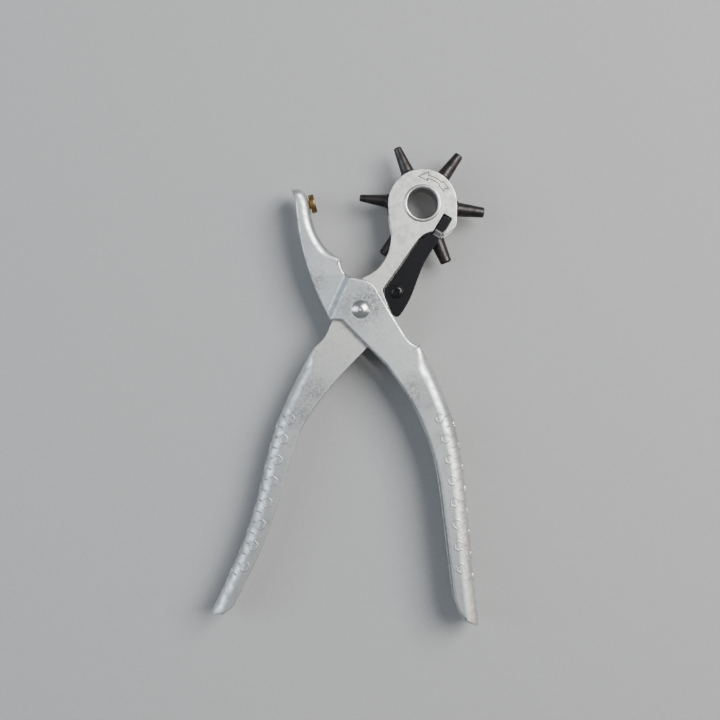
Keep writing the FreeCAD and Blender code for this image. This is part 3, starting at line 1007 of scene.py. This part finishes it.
def edge_z(node: str) -> float:
    """Half the height of a CAD node that is symmetric about the mid-plane."""
    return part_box(node)[1].z / MM


def joint_point(name: str) -> np.ndarray:
    """Point in plan of a joint's axis.

    Args:
        name: name of the joint.

    Returns:
        The point.

    Raises:
        KeyError: the frame has no such joint.
    """
    for joint in frame["joints"]:
        if joint["name"] == name:
            return np.array(joint["pos_m"], float)[:2] / MM
    raise KeyError(name)


@dataclass
class Workshop:
    """What every sub-assembly needs: the palette, and the way pieces are handed over."""

    palette: Palette

    def fit(self, thing: bpy.types.Object, body: str, finish: Finish, slot: str,
            nodes: Sequence[str] = ()) -> None:
        """Dresses a piece and hands it to the frame.

        Args:
            thing: the finished piece.
            body: CAD body that it rides on.
            finish: its finish.
            slot: not used.
            nodes: CAD nodes that it stands for.
        """
        self.palette.dress(thing, finish)
        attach(thing, body)
        if nodes:
            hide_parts(*nodes)
        LOG.info("%s rides on %s, %d faces", thing.name, body, len(thing.data.polygons))


@dataclass
class GripPattern:
    """Hexagons pressed up in two staggered rows along a handle's back, joined by short bars."""

    channel: Channel
    first: float              # distance along the back of the first hexagon
    direction: float = 1.0    # which way along the back the row goes
    pitch: float = 9.5
    count: int = 8
    size: float = 2.1         # centre to corner
    flat: float = 0.87        # centre to side, as a share of the size
    upper: float = 0.3        # upper row, past the start of the bend
    lower: float = 0.5        # lower row, past the end of the bend
    upper_bar: float = 1.6    # how far past its row's middle a bar goes
    lower_bar: float = 1.2
    half_width: float = 0.42
    bar_width: float = 0.8    # a bar's width, as a share of a side's
    rise: float = 0.3

    def hexagon(self, centre: float, across: float, side: Side) -> tuple[np.ndarray, np.ndarray]:
        """Ring of a rounded hexagon laid on the handle's skin.

        Args:
            centre: distance of its centre along the back.
            across: its centre across the bend.
            side: face of the tool.

        Returns:
            Points and normals.
        """
        corners = np.radians(np.arange(0, 361, 60) + 30.0)
        ring = polyline(np.stack([np.cos(corners), np.sin(corners)], 1) * self.size, 0.32)[:-1]
        ring = (np.roll(ring, 1, 0) + 6 * ring + np.roll(ring, -1, 0)) / 8
        return self.channel.skin(centre + ring[:, 1], across + ring[:, 0], side)

    def bar(self, start: Place, end: Place, side: Side) -> tuple[np.ndarray, np.ndarray]:
        """Short straight bar on the skin between two places given along and across."""
        line = polyline([start, end], 0.5)
        return self.channel.skin(line[:, 0], line[:, 1], side)

    def build(self, name: str) -> bpy.types.Object:
        """Makes the whole pattern as one piece, on both faces of the handle.

        Args:
            name: name of the piece.

        Returns:
            The new object.
        """
        shell = Shell()
        low = self.channel.bend * math.pi / 2 + self.lower
        side_at = self.size * self.flat
        for side in Side:
            for i in range(self.count):
                here = self.first + self.direction * self.pitch * i
                between = here + self.direction * self.pitch / 2
                for centre, across in ((here, self.upper), (between, low)):
                    ring = tube(*self.hexagon(centre, across, side), self.half_width, self.rise, True)
                    shell.grid(ring, close_u=True, close_v=True)
                for bar in (((here, self.upper + side_at), (here, low + self.lower_bar)),
                            ((between, low - side_at), (between, self.upper + self.upper_bar))):
                    wide = self.half_width * self.bar_width
                    shell.capped_tube(tube(*self.bar(*bar, side), wide, self.rise, False))
        return shell.piece(name)


@dataclass
class TurretLever:
    """Left handle and the fork plates that hold the turret."""

    shop: Workshop
    sheet: float = 1.8
    bend: float = 5.0
    head_radius: float = 14.9
    axle_hole: float = 7.12
    pivot_hole: float = 3.05
    slot_width: float = 4.3
    slot_left: float = 8.8      # lengths of the slot's two sides
    slot_right: float = 10.0
    roll: float = 0.35
    grip_start: float = 32.2
    web_line: Points = (
        (-47.4, -62.9), (-50.2, -67.6), (-55.8, -78.3), (-62.7, -94.1), (-67.4, -109.8),
        (-71.8, -128.2), (-78.8, -149.2), (-85.9, -165.0), (-92.4, -178.4))
    inner_line: Points = (
        (-79.4, -169.6), (-73.6, -158.1), (-67.2, -142.6), (-62.0, -127.1), (-57.7, -111.6),
        (-53.6, -100.0), (-46.7, -88.4), (-38.6, -78.1), (-24.0, -62.6))
    end_line: Points = ((-82.0, -174.4), (-79.4, -169.6))
    crotch: Points = ((-24.0, -62.6), (-17.5, -56.0), (-13.6, -51.4), (-13.9, -47.6), (-17.4, -37.4))
    neck_right: Points = ((-3.6, -17.9), (-1.6, -15.4), (0.9, -13.4), (4.8, -12.2))
    rear_corner: Place = (8.0, -15.6)
    cheek: Points = ((13.0, -11.6), (14.4, -10.1), (14.9, -8.0))
    neck_left: Points = ((-14.9, 0.0), (-14.3, -7.0), (-13.5, -13.5), (-14.1, -18.8), (-16.2, -24.2),
                         (-20.3, -29.1), (-26.2, -32.4))
    hidden: Points = ((-26.2, -32.4), (-29.6, -35.4), (-33.0, -39.4), (-36.2, -45.6), (-39.3, -51.4),
                      (-42.0, -57.4), (-44.6, -60.4), (-47.4, -62.9))
    ear: Points = ((-13.9, -47.6), (-13.8, -45.4), (-10.2, -42.8), (-7.2, -40.6), (-6.6, -37.4),
                   (-7.6, -30.0), (-9.0, -25.6))

    def channel(self) -> Channel:
        """Web and bends of the handle."""
        return Channel(spline(self.web_line), edge_z("turret_lever"), self.bend, self.sheet,
                       shear_end=-0.6, ease_start=10.0, lip=0.9)

    def slot_corners(self) -> np.ndarray:
        """The slot's four corners in plan.

        Returns:
            The corners, from its left mouth round to its right mouth.
        """
        ahead = heading(SLOT_ANGLE)[:2]
        left = left_of(ahead) * self.slot_width / 2
        end = np.asarray(SLOT_END)
        return np.array([end + left - ahead * self.slot_left, end + left,
                         end - left, end - left - ahead * self.slot_right])

    def plate(self, side: Side) -> Mesh:
        """One fork plate with its flange, with the slot in front or the ear behind.

        Args:
            side: front or rear.

        Returns:
            Points and faces.
        """
        join = self.channel().join()
        neck = spline(self.neck_right)
        if side is Side.FRONT:
            middle = [polyline(self.crotch), polyline([self.crotch[-1], self.neck_right[0]]),
                      neck[:-1], polyline([*self.slot_corners(), self.cheek[0]])]
        else:
            middle = [polyline(self.crotch[:-1]), spline(self.ear),
                      polyline([self.ear[-1], self.neck_right[0]]), neck,
                      polyline([self.neck_right[-1], self.rear_corner, self.cheek[0]])]
        free = [spline(np.vstack([join[-1:], self.end_line])), spline(self.inner_line), *middle,
                spline(self.cheek), polyline([self.cheek[-1], (self.head_radius, 0)]),
                arc(ORIGIN, self.head_radius, 0, 180), spline(self.neck_left), spline(self.hidden)]
        loop, kind = outline([(Edge.JOIN, join), *lips(*free)], 1)
        holes = [hole(ORIGIN, self.axle_hole), hole(joint_point("lever_pivot"), self.pivot_hole)]
        high = edge_z("turret_lever")
        points, faces = Plate(high - self.sheet, high, roll=self.roll).build(loop, kind, holes)
        return points * (1, 1, side.value), faces

    def build(self) -> None:
        """Makes the lever and its grip pattern."""
        shell = Shell()
        self.channel().add_to(shell)
        for side in Side:
            shell.add(*self.plate(side))
        lever = shell.piece("turret_lever_pressing")
        self.shop.fit(lever, "turret_lever", Finish.FORK, "zinc_steel", ["turret_lever"])
        grip = GripPattern(self.channel(), self.grip_start).build("left_grip_pattern")
        self.shop.fit(grip, "turret_lever", Finish.FORK, "zinc_steel")


@dataclass
class AnvilLever:
    """Right handle, the pivot plates that straddle the other lever, and the jaw."""

    shop: Workshop
    sheet: float = 1.8
    bend: float = 5.6
    jaw_bend: float = 3.6
    jaw_half: float = 6.7
    pivot_hole: float = 3.02
    roll: float = 0.9
    ramp_start: Place = (-33.7, -30.4)    # first line of the joggle
    ramp_end: Place = (-41.4, -47.5)
    ramp_width: float = 3.3
    ramp_spill: float = 0.4               # how far the joggle's bends go past its width
    grip_start: float = 32.2
    web_line: Points = ((24.7, -183.4), (21.5, -155.4), (19.2, -129.1), (17.3, -112.8), (14.6, -98.5),
                        (10.4, -85.4), (4.6, -72.2), (-1.0, -61.9))
    jaw_line: Points = ((-35.7, -24.0), (-41.5, -19.4), (-45.7, -13.2), (-48.4, -4.8), (-49.6, 1.6),
                        (-52.4, 6.0), (-57.2, 6.6))
    back: Points = ((-57.2, 6.6), (-55.0, 0.3), (-53.3, -13.3), (-50.6, -25.0), (-46.4, -37.0),
                    (-39.9, -50.6))
    lower: Points = ((-39.9, -50.6), (-35.0, -50.7), (-15.3, -70.4))
    inner: Points = ((-15.3, -70.4), (-9.9, -78.1), (-3.4, -88.4), (1.3, -98.7), (6.2, -114.2),
                     (8.8, -129.7), (11.3, -150.3), (13.8, -171.0))
    end_line: Points = ((13.8, -171.0), (15.6, -176.3))
    shoulder: Points = ((-1.0, -61.9), (-4.4, -60.6), (-8.7, -55.4), (-12.8, -48.8), (-19.0, -38.4))
    crotch: Points = ((-19.0, -38.4), (-21.6, -34.9), (-26.0, -32.9), (-32.0, -31.4), (-34.9, -28.0),
                      (-35.7, -24.0))

    def handle(self) -> Channel:
        """Web and bends of the handle."""
        return Channel(spline(self.web_line), edge_z("anvil_lever"), self.bend, self.sheet,
                       shear_start=0.62, ease_end=10.0, lip=0.9)

    def jaw(self) -> Channel:
        """Web and bends of the jaw, over its nose."""
        return Channel(spline(self.jaw_line, 0.3), self.jaw_half, self.jaw_bend, self.sheet,
                       shear_end=-0.5, reach=6.0, ease_start=8.0, lip=0.6)

    def ramp_left(self) -> np.ndarray:
        """Plan direction across the joggle, from the jaw's side to the handle's."""
        return left_of(unit(np.asarray(self.ramp_end) - np.asarray(self.ramp_start)))

    def joggled(self, points: np.ndarray) -> np.ndarray:
        """Lowers the plate on the jaw's side of the joggle.

        The step is the difference of the two half depths times one minus a smooth step of the
        distance from the joggle's first line over its width.

        Args:
            points: vertices of the upper plate.

        Returns:
            The moved vertices.
        """
        over = (points[:, :2] - np.asarray(self.ramp_start)) @ self.ramp_left()
        t = np.clip((over + self.ramp_spill) / (self.ramp_width + 2 * self.ramp_spill), 0, 1)
        drop = (edge_z("anvil_lever") - self.jaw_half) * (1 - smooth(t))
        return points - drop[:, None] * np.array(UPRIGHT)

    def plate(self) -> Mesh:
        """Upper flange from the nose to the handle's tip, with its joggle.

        Returns:
            Points and faces.
        """
        handle, jaw = self.handle().join(), self.jaw().join()
        runs = [(Edge.JOIN, jaw),
                *lips(spline([jaw[-1], *self.back[1:]]), polyline(self.lower), spline(self.inner),
                      spline(np.vstack([self.end_line, handle[:1]]))),
                (Edge.JOIN, handle), *lips(spline(self.shoulder), spline(self.crotch))]
        loop, kind = outline(runs)
        high = edge_z("anvil_lever")
        pivot = hole(joint_point("lever_pivot"), self.pivot_hole)
        points, faces = Plate(high - self.sheet, high, roll=self.roll).build(loop, kind, [pivot])
        steps = np.linspace(-self.ramp_spill, self.ramp_width + self.ramp_spill, 14)
        points, faces = sliced(points, faces, (*self.ramp_start, 0), (*self.ramp_left(), 0), steps)
        return self.joggled(points), faces

    def build(self) -> None:
        """Makes the lever and its grip pattern."""
        shell = Shell()
        self.handle().add_to(shell)
        self.jaw().add_to(shell)
        points, faces = self.plate()
        for side in Side:
            shell.add(points * (1, 1, side.value), faces)
        lever = shell.piece("anvil_lever_pressing")
        self.shop.fit(lever, "anvil_lever", Finish.ZINC, "zinc_steel", ["anvil_lever"])
        first = self.handle().walked()[-1] - self.grip_start
        grip = GripPattern(self.handle(), first, -1.0).build("right_grip_pattern")
        self.shop.fit(grip, "anvil_lever", Finish.ZINC, "zinc_steel")


@dataclass
class Pivot:
    """Rivet and return spring."""

    shop: Workshop
    head_radius: float = 4.0
    shank: float = 3.0
    dimple: float = 0.16              # depth of the dimple in the head, and its radius
    dimple_radius: float = 0.5
    wire: float = 0.8
    turns: int = 4
    gap: float = 0.35                 # between the sleeve and the wire
    left_leg: Place = (-57.4, -89.0)
    right_leg: Place = (6.6, -83.0)
    bending: float = 4.0              # half the length over which the wire passes between levers

    def rivet(self) -> None:
        """Domed rivet: each head is a slice of a ball with a small bell-shaped dimple.

        The ball's radius is the sum of the squares of the head's radius and rise over twice the
        rise.
        """
        top, face = edge_z("pivot_rivet"), edge_z("anvil_lever")
        rise = top - face
        ball = (self.head_radius ** 2 + rise ** 2) / (2 * rise)
        r = np.linspace(0, 1, 24) * self.head_radius
        dimple = self.dimple * np.exp(-(r / self.dimple_radius) ** 2)
        dome = top - ball + np.sqrt(ball ** 2 - r ** 2) - dimple
        half = [*zip(r, dome), (self.head_radius, face), (self.shank, face)]
        profile = half + [(a, -z) for a, z in reversed(half)]
        rivet = lathe("pivot_rivet_dome", profile, (*joint_point("lever_pivot"), 0), crease=30)
        self.shop.fit(rivet, "anvil_lever", Finish.RIVET, "rivet_steel", ["pivot_rivet"])

    def spring(self) -> None:
        """Torsion spring: a helix round the sleeve, and a straight leg along each web."""
        pivot = joint_point("lever_pivot")
        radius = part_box("pivot_sleeve")[1].x / MM - pivot[0] + self.gap + self.wire
        height = self.wire * self.turns
        ends = np.array([self.left_leg, self.right_leg])
        sides = [left_of(unit(end - pivot)) * turn for end, turn in zip(ends, (1, -1))]
        start, stop = (math.atan2(y, x) for x, y in sides)
        sweep = (stop - start) % (2 * math.pi) - 2 * math.pi * self.turns
        t = np.linspace(0, 1, 160)
        angle = start + sweep * t
        coil = np.stack([pivot[0] + radius * np.cos(angle), pivot[1] + radius * np.sin(angle),
                         -height + 2 * height * t], 1)
        path = np.vstack([np.linspace([*ends[0], -height], coil[0], 40)[:-1], coil,
                          np.linspace(coil[-1], [*ends[1], height], 40)[1:]])
        ahead = along(path, False)
        normals = unit(np.cross(np.cross(ahead, UPRIGHT), ahead))
        shell = Shell()
        shell.capped_tube(tube(path, normals, self.wire, self.wire, False, 14))
        thing = shell.piece("return_spring_wire")
        self.shop.palette.dress(thing, Finish.SPRING)
        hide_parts("return_spring")
        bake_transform(thing)
        LOG.info("return_spring_wire bends between the levers")

    def build(self) -> None:
        """Makes the pivot's pieces."""
        self.rivet()
        self.spring()


@dataclass
class Anvil:
    """Brass disc on the jaw."""

    shop: Workshop
    radius: float = 4.1
    thick: float = 2.4
    stem: float = 1.9
    corner: float = 0.55
    angle: float = 14.7
    face: Place = (-46.6, 0.9)
    worn: Points = ((0, 0), (1.0, -0.01), (1.6, -0.10), (2.2, -0.10), (2.8, -0.01))
    upset: Points = ((0, -5.2), (0.3, -5.4), (0.1, -5.8))    # end of the stem, past its radius
    length: float = 5.9

    def build(self) -> None:
        """Turns the disc with its shank, with a shallow ring worn into its face."""
        rim = rounded_profile([(0, 0), (self.radius, 0), (self.radius, -self.thick),
                               (self.stem, -self.thick)], self.corner)
        tail = [(self.stem + r, z) for r, z in self.upset] + [(0, -self.length)]
        profile = np.vstack([self.worn, rim[1:], tail])
        disc = lathe("anvil_disc", profile, (*self.face, 0), heading(self.angle), 72, 35)
        self.shop.fit(disc, "anvil_lever", Finish.BRASS, "brass", ["anvil"])


@dataclass
class Turret:
    """Drum and its six punch tubes."""

    shop: Workshop
    radius: float = 15.1
    reach: float = 27.4
    count: int = 6
    bore_radius: float = 8.0
    smallest: float = 1.0        # bore of the smallest punch, and what each next one adds
    step: float = 0.25
    base: float = 2.75           # outside of the smallest at its collar, and what each next one adds
    base_step: float = 0.13
    wall: float = 0.45           # at the cutting edge; also the collar's rim and the bevel's length
    root: float = 9.2            # how far in the tubes go
    mouth: float = 3.0           # depth of the bore that is at its full size
    seat: float = 2.47
    groove: float = 1.5          # radius of the clicking grooves, and how far over the rim they sit
    groove_over: float = 0.9

    def angle(self, index: float) -> float:
        """Direction of a punch in degrees."""
        return PUNCH_ANGLE - index * 360.0 / self.count

    def tube(self, index: int) -> None:
        """One punch: collar, gentle taper, bevelled edge and bore.

        Args:
            index: its number, from 0 for the smallest.
        """
        bore = self.smallest + self.step * index
        base = self.base + self.base_step * index
        collar, edge, foot = base + self.wall, bore + self.wall, self.radius - 0.4
        outside = [(SHANK_RADIUS, self.root), (SHANK_RADIUS, foot), (collar, foot),
                   (collar, self.radius + 0.6), (base, self.radius + 0.8),
                   (base - 0.05, self.radius + 1.6), (edge + 0.04, self.reach - self.wall),
                   (bore + 0.18, self.reach), (bore, self.reach)]
        inside = [(bore, self.reach - self.mouth), (bore, self.root), (SHANK_RADIUS, self.root)]
        profile = np.vstack([rounded_profile(outside, 0.25, 4), inside])
        number = index + 1
        punch = lathe("punch_%d" % number, profile, axis=heading(self.angle(index)), segments=48, crease=32)
        self.shop.fit(punch, "turret", Finish.PUNCH, "black_steel", ["punch_tube_%d" % number])

    def drum(self) -> None:
        """Drum with softened rims, seats for the tubes and a groove between each two."""
        half = edge_z("turret_drum")
        profile = rounded_profile([(self.bore_radius, half), (self.radius, half),
                                   (self.radius, -half), (self.bore_radius, -half)], 0.5)
        drum = lathe("turret_drum_body", profile, segments=144, crease=35, ring=True)
        past = self.radius + 3
        cutters = []
        for index in range(self.count):
            cutters.append(rod(self.seat, 5.0, past, heading(self.angle(index))))
            between = heading(self.angle(index + 0.5))
            cutters.append(rod(self.groove, 9.6, past, between, half + self.groove_over))
        carve(drum, cutters)
        self.shop.fit(drum, "turret", Finish.BLACK, "black_steel", ["turret_drum"])

    def build(self) -> None:
        """Makes the drum and the tubes."""
        self.drum()
        for index in range(self.count):
            self.tube(index)


@dataclass
class Axle:
    """Hollow rivet that the turret turns on."""

    shop: Workshop
    bore: float = 6.5
    outer: float = 7.1
    rim: float = 8.2
    lap: float = 1.2       # how far the rims reach down past the plate's face
    sunk: float = 0.1      # how far the roll starts under the face
    seated: float = 0.05
    inward: float = 0.12
    segments: int = 144

    def build(self) -> None:
        """Rim rolled over as half an ellipse, bore to outer edge, and the slug window."""
        top, plate = edge_z("turret_axle"), edge_z("turret_lever")
        depth = plate - self.lap
        over = np.linspace(math.pi, 0, 15)
        middle, reach = (self.bore + self.rim) / 2, (self.rim - self.bore) / 2
        bead = np.column_stack([middle + reach * np.cos(over),
                                plate - self.sunk + (top - plate + self.sunk) * np.sin(over)])
        roll = np.vstack([(self.bore, depth), bead, (self.rim - self.inward, plate - self.seated),
                          (self.outer, plate - self.seated), (self.outer, depth)])
        rims = Shell()
        for side in Side:
            ring = turned(roll * (1, side.value), ORIGIN, UPRIGHT, self.segments)
            rims.grid(ring, close_u=True, close_v=True)
        self.shop.fit(rims.piece("turret_axle_rims", 50), "turret_lever", Finish.AXLE, "rivet_steel")
        wall = [(self.bore, -depth), (self.bore, depth), (self.outer, depth), (self.outer, -depth)]
        axle = lathe("turret_axle_tube", wall, segments=self.segments, crease=30, ring=True)
        carve(axle, [rod(SHANK_RADIUS, 2.0, 10.0, heading(PUNCH_ANGLE), segments=40)], 30)
        self.shop.fit(axle, "turret_lever", Finish.BARE, "rivet_steel", ["turret_axle"])


@dataclass
class IndexSpring:
    """Leaf spring and its screw."""

    shop: Workshop
    thick: float = 0.8
    screw: Place = (-11.1, -38.2)
    screw_hole: float = 1.6
    nose_half: float = 1.85
    root: float = 10.3         # the nose's length from the leaf to the slot's end
    short: float = 0.3         # gap at the slot's end
    low: float = 5.6           # heights of the leaf, of the nose over the drum, and in the groove
    over: float = 4.85
    dip: float = 4.2
    dip_width: float = 0.7
    fall_start: float = 0.4    # where the nose leaves the leaf's height, and over what length
    fall_width: float = 2.4
    groove_angle: float = 23.2
    edge: Points = ((-10.1, -49.0), (-7.4, -45.0), (-5.2, -40.9), (-3.4, -36.5), (0.3, -26.9),
                    (4.4, -19.8))
    inner: Points = ((3.0, -13.8), (1.2, -14.2), (-1.1, -16.2), (-3.2, -18.7))
    foot: Points = ((-16.8, -37.9), (-13.5, -47.6), (-12.0, -49.4), (-10.1, -49.0))
    recess_angles: Place = (25.0, 115.0)
    recess_half: Place = (1.75, 0.38)     # half length and half width of a recess at the top
    recess_taper: Place = (0.35, 0.7)     # its shares at the bottom
    recess_depth: float = 1.1

    def leaf(self) -> None:
        """The leaf: level with the plate, stepped down into the slot, and dipping into a groove.

        The height along the nose falls from the leaf's by an even slope, and a bell-shaped dip
        marks the place where the groove's radius crosses the nose.
        """
        ahead, spoke = heading(SLOT_ANGLE)[:2], heading(self.groove_angle)[:2]
        left = left_of(ahead)
        root = np.asarray(SLOT_END) - ahead * self.root
        tip = root + ahead * (self.root - self.short)
        side = left * self.nose_half
        nose = [self.edge[-1], root - side, tip - side, tip + side, root + side]
        loop, kind = outline(lips(spline(self.edge), polyline(nose), spline([nose[-1], *self.inner]),
                                  polyline([self.inner[-1], *self.foot], 1.0)))
        blank = Plate(0.0, self.thick, roll=0.22, burr=0.12)
        points, faces = blank.build(loop, kind, [hole(self.screw, self.screw_hole)])
        cuts = np.r_[np.linspace(-0.2, 2.4, 10), np.linspace(3.0, self.root, 20)]
        points, faces = sliced(points, faces, (*root, 0), (*ahead, 0), cuts)
        place = points[:, :2] - root
        gone = place @ ahead
        on_nose = np.abs(place @ left) < self.nose_half + 0.2
        groove = (root @ left_of(spoke)) / -(ahead @ left_of(spoke))
        fall = np.clip((gone - self.fall_start) / self.fall_width, 0, 1)
        path = self.low + (self.over - self.low) * fall
        path = path - (self.over - self.dip) * np.exp(-((gone - groove) / self.dip_width) ** 2)
        points[:, 2] += np.where(on_nose, path, self.low)
        shell = Shell()
        shell.add(points, faces)
        leaf = shell.piece("index_spring_leaf", 35)
        self.shop.fit(leaf, "turret_lever", Finish.SPRING, "spring_steel", ["index_spring"])

    def recess(self, degrees: float, top: float) -> bpy.types.Object:
        """Tapered cutter for one bar of the cross recess.

        Args:
            degrees: its direction.
            top: height of the head.

        Returns:
            The cutter.
        """
        signs = np.array([[-1, -1], [1, -1], [1, 1], [-1, 1]])
        c, s, _ = heading(degrees)
        rings = []
        for share, height in ((self.recess_taper, top - self.recess_depth), ((1, 1), top + 0.3)):
            flat = signs * self.recess_half * share @ np.array([[c, s], [-s, c]]) + self.screw
            rings.append(np.column_stack([flat, np.full(4, height)]))
        blade = Shell()
        blade.grid(np.stack(rings), close_v=True)
        blade.add(rings[0], [(0, 1, 2, 3)])
        blade.add(rings[1], [(3, 2, 1, 0)])
        return blade.piece("cutter")

    def head(self) -> None:
        """Pan head with a cross recess."""
        low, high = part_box("index_screw")
        seat = self.low + self.thick
        bottom, top = low.z / MM, high.z / MM
        shank, radius = 1.5, (high.x - low.x) / 2 / MM
        profile = [(shank, bottom), (shank, seat), (radius, seat), (radius, seat + 0.5),
                   (radius - 0.25, seat + 1.0), (radius - 0.9, top - 0.12), (radius - 1.6, top), (0, top)]
        profile = np.vstack([[(0, bottom)], rounded_profile(profile, 0.3, 4)])
        head = lathe("index_screw_head", profile, (*self.screw, 0), segments=72, crease=35)
        carve(head, [self.recess(degrees, top) for degrees in self.recess_angles])
        self.shop.fit(head, "turret_lever", Finish.BLACK, "black_steel", ["index_screw"])

    def build(self) -> None:
        """Makes the leaf and the screw."""
        self.leaf()
        self.head()


@dataclass
class Markings:
    """Generic marks: an arrow for the way the turret turns, and ticks round the pivot."""

    shop: Workshop
    arrow_line: Points = (      # radius, and first and last angle, which are the same at a corner
        (11.75, 98.8, 98.8), (13.9, 79.0, 79.0), (12.25, 77.3, 46.3), (12.85, 46.9, 28.9),
        (11.5, 34.0, 34.0), (10.35, 29.2, 46.0), (10.9, 49.0, 79.0), (10.0, 76.0, 76.0),
        (11.75, 98.8, 98.8))
    arrow_bead: Place = (0.19, 0.02)      # half width and half height of the etched line
    tick_from: float = 6.4
    tick_to: float = 7.5
    tick_turn: float = 9.0                # degrees between ticks
    tick_bead: Place = (0.2, 0.14)

    def bead(self, line: np.ndarray, node: str, size: Place, closed: bool) -> np.ndarray:
        """Bead along a plan line on the face of a node.

        Args:
            line: its plan samples.
            node: CAD node whose face it lies on.
            size: half its width and half its height.
            closed: whether the line is a ring.

        Returns:
            Grid of points.
        """
        path = np.column_stack([line, np.full(len(line), edge_z(node))])
        return tube(path, np.tile([0.0, 0.0, 1.0], (len(path), 1)), *size, closed, 6)

    def arrow(self) -> None:
        """Outline of a curved block arrow, etched into the front plate."""
        path = np.vstack([arc(ORIGIN, radius, start, end, 0.4) if end != start
                          else radius * heading(start)[None, :2]
                          for radius, start, end in self.arrow_line])
        shell = Shell()
        line = polyline(path, 0.3)[:-1]
        shell.grid(self.bead(line, "turret_lever", self.arrow_bead, True), close_u=True, close_v=True)
        self.shop.fit(shell.piece("turning_arrow"), "turret_lever", Finish.ETCH, "zinc_steel")

    def ticks(self) -> None:
        """Short pressed ticks in a ring round the pivot rivet."""
        pivot = joint_point("lever_pivot")
        shell = Shell()
        for degrees in np.arange(0, 360, self.tick_turn):
            spoke = heading(degrees)[:2]
            line = np.linspace(pivot + spoke * self.tick_from, pivot + spoke * self.tick_to, 4)
            shell.capped_tube(self.bead(line, "anvil_lever", self.tick_bead, False))
        self.shop.fit(shell.piece("pivot_tick_ring"), "anvil_lever", Finish.ZINC, "zinc_steel")

    def build(self) -> None:
        """Makes the marks."""
        self.arrow()
        self.ticks()


@dataclass(frozen=True)
class Lamp:
    """Rectangular soft light: its place and size are metres, from the tool's middle."""

    name: str
    place: Place
    size: tuple[float, float]
    power: float
    colour: Rgb = (1, 1, 1)


@dataclass
class Studio:
    """Pale floor, soft lights and the camera."""

    centre: Place = (-27.05, -67.8)    # what the camera looks at
    plane: float = 9.1                 # height at which the view has its full width
    field_width: float = 309.6
    lens: float = 55.0
    sensor: float = 36.0
    floor_half: float = 2500.0
    floor_tones: tuple[Rgb, Rgb] = ((0.37, 0.368, 0.365), (0.40, 0.398, 0.395))
    floor_grain: Pattern = Pattern(900.0, 4.0, 0.3, 0.7)
    floor_roughness: float = 0.9
    sky: Rgb = (0.80, 0.82, 0.85)
    sky_strength: float = 0.24
    lamps: tuple[Lamp, ...] = (
        Lamp("key_right", (0.80, 0.45, 1.10), (0.9, 0.9), 32.0),
        Lamp("fill_left", (-0.95, 0.15, 1.0), (0.8, 1.1), 6.5, (0.80, 0.89, 1.0)),
        Lamp("low_right", (1.3, -0.1, 0.28), (0.3, 1.0), 2.5, (1.0, 0.72, 0.48)),
        Lamp("low_left", (-1.2, 0.1, 0.32), (0.5, 1.2), 3.6, (0.70, 0.82, 1.0)))

    def floor(self) -> None:
        """Plain floor at the tool's lowest point."""
        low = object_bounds()[0][2] / MM
        shell = Shell()
        ends = np.linspace(-self.floor_half, self.floor_half, 3)
        x, y = np.meshgrid(ends, ends, indexing="ij")
        shell.grid(np.stack([x, y, np.full_like(x, low)], -1))
        floor = shell.piece("floor")
        nodes = Nodes("pale_floor")
        nodes.shader.inputs["Roughness"].default_value = self.floor_roughness
        colour = nodes.mix(nodes.pattern(self.floor_grain), *self.floor_tones)
        nodes.link(colour, nodes.shader.inputs["Base Color"])
        floor.data.materials.append(nodes.material)
        floor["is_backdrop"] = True

    def light(self, lamp: Lamp) -> None:
        """Puts up one light, aimed at the tool's middle.

        Args:
            lamp: what it is like.
        """
        data = bpy.data.lights.new(lamp.name, "AREA")
        data.shape = "RECTANGLE"
        data.size, data.size_y = lamp.size
        data.energy = lamp.power
        data.color = lamp.colour
        thing = bpy.data.objects.new(lamp.name, data)
        middle = Vector((self.centre[0] * MM, self.centre[1] * MM, 0))
        thing.location = middle + Vector(lamp.place)
        thing.rotation_euler = (middle - thing.location).to_track_quat("-Z", "Y").to_euler()
        bpy.context.scene.collection.objects.link(thing)

    def camera(self) -> None:
        """Camera straight above, with the plan filling the frame."""
        data = bpy.data.cameras.new("camera")
        data.lens = self.lens
        data.sensor_width = self.sensor
        data.clip_start = 0.01
        camera = bpy.data.objects.new("camera", data)
        height = self.plane + self.field_width * self.lens / self.sensor
        camera.location = (self.centre[0] * MM, self.centre[1] * MM, height * MM)
        bpy.context.scene.collection.objects.link(camera)
        bpy.context.scene.camera = camera

    def build(self) -> None:
        """Sets up the floor, the camera, the lights and the sky."""
        self.floor()
        self.camera()
        for lamp in self.lamps:
            self.light(lamp)
        world = bpy.data.worlds.new("studio")
        world.use_nodes = True
        background = world.node_tree.nodes["Background"]
        background.inputs["Color"].default_value = (*self.sky, 1)
        background.inputs["Strength"].default_value = self.sky_strength
        bpy.context.scene.world = world


def dress_plain_nodes(shop: Workshop) -> None:
    """Gives the CAD nodes that are shown as they are their finish."""
    for name in ("pivot_washer_front", "pivot_washer_rear", "pivot_sleeve", "turret_sleeve", "spring_post"):
        shop.palette.dress(frame["nodes"][name], Finish.BARE)


def main() -> None:
    """Builds the tool, then the studio round it."""
    logging.basicConfig(level=logging.INFO, format="%(message)s")
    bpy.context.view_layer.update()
    shop = Workshop(Palette())
    for assembly in (TurretLever(shop), AnvilLever(shop), Pivot(shop), Anvil(shop), Turret(shop), Axle(shop),
                     IndexSpring(shop), Markings(shop)):
        assembly.build()
    dress_plain_nodes(shop)
    Studio().build()


if __name__ == "__main__":
    main()
